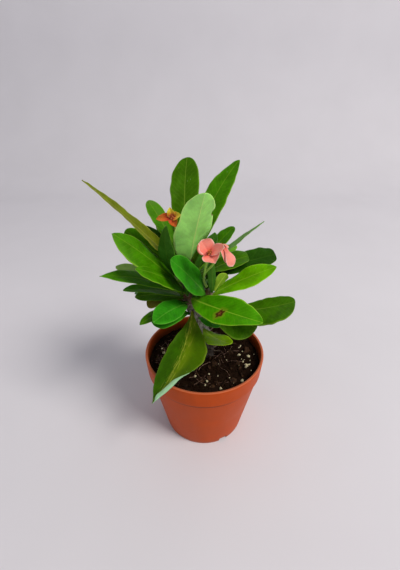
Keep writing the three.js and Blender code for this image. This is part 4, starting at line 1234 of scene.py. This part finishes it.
def blade_mesh(blade, rows, columns, seed, heading, at, thickness=LEAF_THICK):
    """A closed blade, turned to its heading and put at its place: an upper and a lower sheet either side of
    the middle surface, joined round their margins. Both have a groove or a keel along the midrib, and the
    sheets meet in a rounded margin."""
    chance = np.random.default_rng(seed)
    margin, middle, foot = thickness
    u = np.linspace(0, 1, rows)
    t = np.concatenate([[-0.03], 1 - (1 - u) ** 1.35])[:, None]
    v = np.linspace(-1, 1, columns)
    s = (np.sign(v) * np.abs(v) ** 1.2)[None, :]
    t, s = np.broadcast_arrays(t, s)
    along = t * blade["length"]
    uneven = 1 + RAGGED * bumps(chance, along, 40 * np.sign(s), 11, 6) * ease(t * 4)
    point, normal, across = blade_surface(blade, t, s, uneven)
    thick = (margin + (1 - np.abs(s)) * (middle + foot * np.clip(1 - t, 0, 1) ** 3)) * np.sqrt(
        np.clip(1 - np.abs(s) ** 8, 0.06, 1))
    groove, keel = (depth * np.exp(-(across / wide) ** 2) * np.clip(reach - t, 0, 1) * min(
        1, blade["width"] / 12) for depth, wide, reach in (LEAF_GROOVE, LEAF_KEEL))
    small = SKIN_RELIEF * bumps(chance, along, across, 8, 6) * (0.3 + np.abs(s)) * ease(t * 5)
    wavy = MARGIN_WAVE * min(1, blade["width"] / 20) * bumps(chance, along, 25 * np.sign(s), 20, 4)
    small = small + wavy * s * s * ease(t * 5)
    upper = point + normal * (thick / 2 - groove + small)[..., None]
    lower = point - normal * (thick / 2 + keel - small)[..., None]
    n = t.size
    rows, columns = t.shape
    number = np.arange(n).reshape(rows, columns)
    quads = [grid_faces(rows, columns, flip=True), grid_faces(rows, columns, first=n)]
    for edge in (number[::-1, 0], number[:, -1], number[0], number[-1, ::-1]):
        quads.append(np.stack([edge[:-1], edge[1:], edge[1:] + n, edge[:-1] + n], -1))
    points = np.concatenate([upper.reshape(-1, 3), lower.reshape(-1, 3)])
    top = np.concatenate([np.ones(n), np.zeros(n)])
    own = np.full(2 * n, chance.uniform(0, 1))
    t, s, along, across = (np.tile(values.ravel(), 2) for values in (t, s, along, across))
    attributes = {"blade": np.stack([along, across, top], -1), "unit": np.stack([t, s, own], -1)}
    points = turned_about_z(points, heading) + np.array(at)
    return (points, np.concatenate(quads), NO_TRIANGLES), attributes


def make_blades(name, blades, material, slot, replaces=()):
    """One piece from blades and their attributes."""
    attributes = {key: np.concatenate([carried[key] for _, carried in blades]) for key in ("blade", "unit")}
    make_piece(name, *joined([mesh for mesh, _ in blades]), material, slot, replaces, attributes)


def turned_about_z(points, degrees):
    """Points turned about the Z axis."""
    angle = math.radians(degrees)
    c, s = math.cos(angle), math.sin(angle)
    return points @ np.array([[c, s, 0], [-s, c, 0], [0, 0, 1]])


def leaf_root(row):
    """Where a leaf leaves its stem."""
    heading = math.radians(row["heading"])
    out = float(stem_radius(row["stem"], row["start"])) + ROOT_GAP
    return stem_axis(row["stem"], row["start"]) + out * np.array([math.cos(heading), math.sin(heading), 0])


def make_leaf(row, seed, material):
    """A leaf, its root set just inside its stem."""
    columns = ROLLED_COLUMNS if row["flap"] else LEAF_COLUMNS
    blade = blade_mesh(row, LEAF_ROWS, columns, seed, row["heading"], leaf_root(row))
    make_blades(f"{row['name']}_leaf", [blade], material, "leaf", [f"leaf_{row['name']}"])


def make_sprigs(material):
    """The small young leaves in the axils, as one piece."""
    blades = [blade_mesh(row, *SPRIG_GRID, seed, row["heading"], leaf_root(row), SPRIG_THICK)
              for seed, row in enumerate(SPRIGS, SPRIG_SEED)]
    make_blades("axil_leaves", blades, material, "leaf")


# ---------------------------------------------------------------- Blooms


def tilted(points, tilt, heading, at):
    """Points tipped about Y, turned about Z and moved to their place."""
    a = math.radians(tilt)
    c, s = math.cos(a), math.sin(a)
    tipped = points @ np.array([[c, 0, -s], [0, 1, 0], [s, 0, c]])
    return turned_about_z(tipped, heading) + np.array(at)


def around(radius, angle, z):
    """A point at a radius, an angle and a height."""
    return radius * math.cos(angle), radius * math.sin(angle), z


def dome(radius, height, at, rows=9, sides=12):
    """A rounded body: a sphere stretched to a height, at a place."""
    polar = np.linspace(0, math.pi, rows + 2)[1:-1, None]
    rings = rings_about_z(radius * np.sin(polar), height / 2 * np.cos(polar), sides)
    points, quads, triangles = closed_rings(rings, [[0, 0, height / 2], [0, 0, -height / 2]], down=True)
    return points + np.array(at), quads, triangles


def make_bloom(bloom, seed, petal, heart):
    """A bloom: its bracts round the axis, and in the middle a cup with five glands and a few stamens."""
    place = partial(tilted, tilt=bloom["tilt"], heading=bloom["heading"], at=bloom["at"])
    plain = {"roll": 0, "twist": 0, "sweep": 0, "skew": 0, "trim": 0, "ripe": 0.8,
             "outline": "bract" if bloom["colour"] == "salmon" else "pointed"}
    blades = []
    for k, bract in enumerate(bloom["bracts"]):
        blade = dict(plain, **bract)
        (points, *faces), carried = blade_mesh(
            blade, *BRACT_GRID, seed + k, blade["turn"], (0, 0, 0), BRACT_THICK)
        carried["unit"][:, 2] = blade["ripe"]
        blades.append(((place(points), *faces), carried))
    slot = f"{bloom['colour']}_bract"
    make_blades(f"{bloom['name']}_bracts", blades, petal, slot, [bloom["name"]])
    middle = [dome(*CUP, (0, 0, 0))]
    for k in range(5):
        angle = 2 * math.pi * k / 5
        middle.append(dome(*GLAND, around(1.8, angle, 1.3), 5, 10))
        angle += 0.5
        middle.append(tube([around(0.5, angle, 1.2), around(0.9, angle, 2.6)], STAMEN_RADIUS, 6))
        middle.append(dome(*ANTHER, around(0.95, angle, 2.8), 4, 6))
    points, quads, triangles = joined(middle)
    make_piece(f"{bloom['name']}_cyathium", place(points), quads, triangles, heart, slot)


def make_stalk(name, radius, branches, material):
    """A flower stalk: a tube through the bends of each branch, a little thicker at both ends."""
    radii = radius * (0.92 + 0.35 * np.abs(2 * np.linspace(0, 1, STALK_RINGS) - 1) ** 6)
    parts = [tube(curve_through(bends, STALK_RINGS), radii, STALK_SIDES) for bends in branches]
    make_piece(f"{name}_tube", *joined(parts), material, "stalk", [name])


# ---------------------------------------------------------------- Operators


class CROWN_OT_pot(bpy.types.Operator):
    """Builds the nursery pot"""
    bl_idname = "crown.pot"
    bl_label = "Nursery pot"

    def execute(self, context):
        pot = sizes_of(context.scene.crown_pot)
        make_pot(pot, plastic_material(pot["plastic"]))
        return {"FINISHED"}


class CROWN_OT_soil(bpy.types.Operator):
    """Builds the soil and what lies on it"""
    bl_idname = "crown.soil"
    bl_label = "Potting soil"

    def execute(self, context):
        pot, soil = sizes_of(context.scene.crown_pot), sizes_of(context.scene.crown_soil)
        peat = peat_material(soil["peat"])
        make_soil(soil, pot, peat)
        make_grains(soil, pot, peat)
        return {"FINISHED"}


class CROWN_OT_stem(bpy.types.Operator):
    """Builds the woody stem, its side shoot and their thorns"""
    bl_idname = "crown.stem"
    bl_label = "Stem and thorns"

    def execute(self, context):
        sizes = sizes_of(context.scene.crown_stem)
        bark = bark_material(sizes["bark"], sizes["young_bark"])
        make_stem(sizes, bark, thorn_material(sizes["thorn"]))
        return {"FINISHED"}


class CROWN_OT_leaves(bpy.types.Operator):
    """Builds every leaf"""
    bl_idname = "crown.leaves"
    bl_label = "Leaves"

    def execute(self, context):
        materials = {}
        for tone, (upper, lower, rib, strength, margin) in TONES.items():
            materials[tone] = leaf_material(f"Living leaf, {tone}", linear(upper), linear(lower),
                                            linear(rib), strength, margin, **BLEMISHES.get(tone, {}))
        for seed, row in enumerate(LEAVES):
            make_leaf(row, seed, materials[row["tone"]])
        make_sprigs(materials["dark"])
        return {"FINISHED"}


class CROWN_OT_blooms(bpy.types.Operator):
    """Builds the blooms, their stalks and the bud"""
    bl_idname = "crown.blooms"
    bl_label = "Blooms and bud"

    def execute(self, context):
        look = context.scene.crown_blooms
        petals = {
            "salmon": bract_material("Salmon bract", look.salmon, "#ffb4ae", look.salmon_throat,
                                     "#ffd2c4", 0.08),
            "orange": bract_material("Orange bract", look.orange, look.orange, linear("#8c1a12"),
                                     look.orange_tip, 0.85),
        }
        heart = tissue_material("Flower cup", "#8c2a1a", "#d08030", 1.2, 0.4)
        for seed, bloom in enumerate(BLOOMS):
            make_bloom(bloom, BLOOM_SEED + 10 * seed, petals[bloom["colour"]], heart)
        stalk = tissue_material("Flower stalk", shade(look.stalk, 0.8), look.stalk, 3, 0.42)
        for name, radius, branches in STALKS:
            make_stalk(name, radius, branches, stalk)
        bud = tissue_material("Bud scale", shade(look.bud, 0.7), look.bud, 1.5, 0.45)
        mesh = dome(BUD_RADIUS, 2 * BUD_RADIUS * BUD_STRETCH, BUD_AT, 18, 24)
        make_piece("bud_scales", *mesh, bud, "bud", ["bud_pink"])
        return {"FINISHED"}


class CROWN_OT_stage(bpy.types.Operator):
    """Builds the floor, the lights and the camera"""
    bl_idname = "crown.stage"
    bl_label = "Stage"

    def execute(self, context):
        look = context.scene.crown_stage
        make_sweep(look.floor)
        add_light("key", look.key, *KEY_LIGHT)
        add_light("fill", look.fill, *FILL_LIGHT)
        world = bpy.data.worlds.new("Soft room")
        world.use_nodes = True
        background = world.node_tree.nodes["Background"]
        give(background.inputs["Color"], ROOM)
        give(background.inputs["Strength"], ROOM_STRENGTH)
        context.scene.world = world
        context.scene.view_settings.view_transform = "Standard"
        add_camera(context.scene)
        return {"FINISHED"}


def make_sweep(values):
    """Floor and backdrop in one sheet: flat, then up a quarter circle behind, then straight up."""
    radius, back, front, half, top = SWEEP
    angle = np.linspace(0, math.pi / 2, 24)
    y = np.concatenate([[front], back + radius * np.sin(angle), [back + radius]])
    z = np.concatenate([[0], radius * (1 - np.cos(angle)), [top]])
    points = np.array([[x, b, c] for b, c in zip(y, z) for x in (-half, half)], float)
    material, add, where = new_material("Painted board")
    skin = add("Mix", add("TexNoise", where, *lumps(160, 2)), shade(values, 0.96), shade(values, 1.04))
    mesh = bpy.data.meshes.new("floor_sweep")
    mesh.from_pydata((points * MM).tolist(), [], grid_faces(len(y), 2, flip=True).tolist())
    mesh.polygons.foreach_set("use_smooth", np.ones(len(mesh.polygons), bool))
    mesh.materials.append(finish(material, skin, 0.9))
    sweep = bpy.data.objects.new("floor_sweep", mesh)
    bpy.context.scene.collection.objects.link(sweep)


def add_light(name, power, size, at, code):
    """A square soft box that looks at the plant. Its size and place are in metres."""
    lamp = bpy.data.lights.new(name, "AREA")
    lamp.energy = power
    lamp.size = size
    lamp.color = linear(code)
    light = bpy.data.objects.new(name, lamp)
    light.location = at
    light.rotation_euler = (Vector(LIGHT_TARGET) - Vector(at)).to_track_quat("-Z", "Y").to_euler()
    bpy.context.scene.collection.objects.link(light)


def add_camera(scene):
    """The camera: in front and above, looking down along +Y."""
    lens = bpy.data.cameras.new("camera")
    lens.sensor_width = SENSOR
    lens.lens = FOCAL_PIXELS / PICTURE_HEIGHT * SENSOR
    lens.clip_start = 10 * MM
    camera = bpy.data.objects.new("camera", lens)
    camera.location = tuple(k * MM for k in CAMERA_AT)
    camera.rotation_euler = (math.radians(90 - CAMERA_DOWN), 0, 0)
    scene.collection.objects.link(camera)
    scene.camera = camera


class CROWN_PT_panel(bpy.types.Panel):
    """Lists the pieces in the order they are built"""
    bl_label = "Crown of Thorns"
    bl_space_type = "VIEW_3D"
    bl_region_type = "UI"
    bl_category = "Crown of Thorns"

    def draw(self, context):
        for group in ("crown_pot", "crown_soil", "crown_stem", "crown_blooms", "crown_stage"):
            box = self.layout.box()
            for key in type(getattr(context.scene, group)).__annotations__:
                box.prop(getattr(context.scene, group), key)
        for operator in OPERATORS:
            self.layout.operator(operator.bl_idname)


OPERATORS = (CROWN_OT_pot, CROWN_OT_soil, CROWN_OT_stem, CROWN_OT_leaves, CROWN_OT_blooms, CROWN_OT_stage)
GROUPS = {"crown_pot": PotSizes, "crown_soil": SoilSizes, "crown_stem": StemSizes,
          "crown_blooms": BloomColours, "crown_stage": StageLook}
CLASSES = (*GROUPS.values(), *OPERATORS, CROWN_PT_panel)


def register():
    for cls in CLASSES:
        bpy.utils.register_class(cls)
    for name, group in GROUPS.items():
        setattr(bpy.types.Scene, name, bpy.props.PointerProperty(type=group))


def unregister():
    for name in GROUPS:
        delattr(bpy.types.Scene, name)
    for cls in reversed(CLASSES):
        bpy.utils.unregister_class(cls)


def main():
    register()
    bpy.ops.crown.pot()
    bpy.ops.crown.soil()
    bpy.ops.crown.stem()
    bpy.ops.crown.leaves()
    bpy.ops.crown.blooms()
    bpy.ops.crown.stage()


if __name__ == "__main__":
    main()
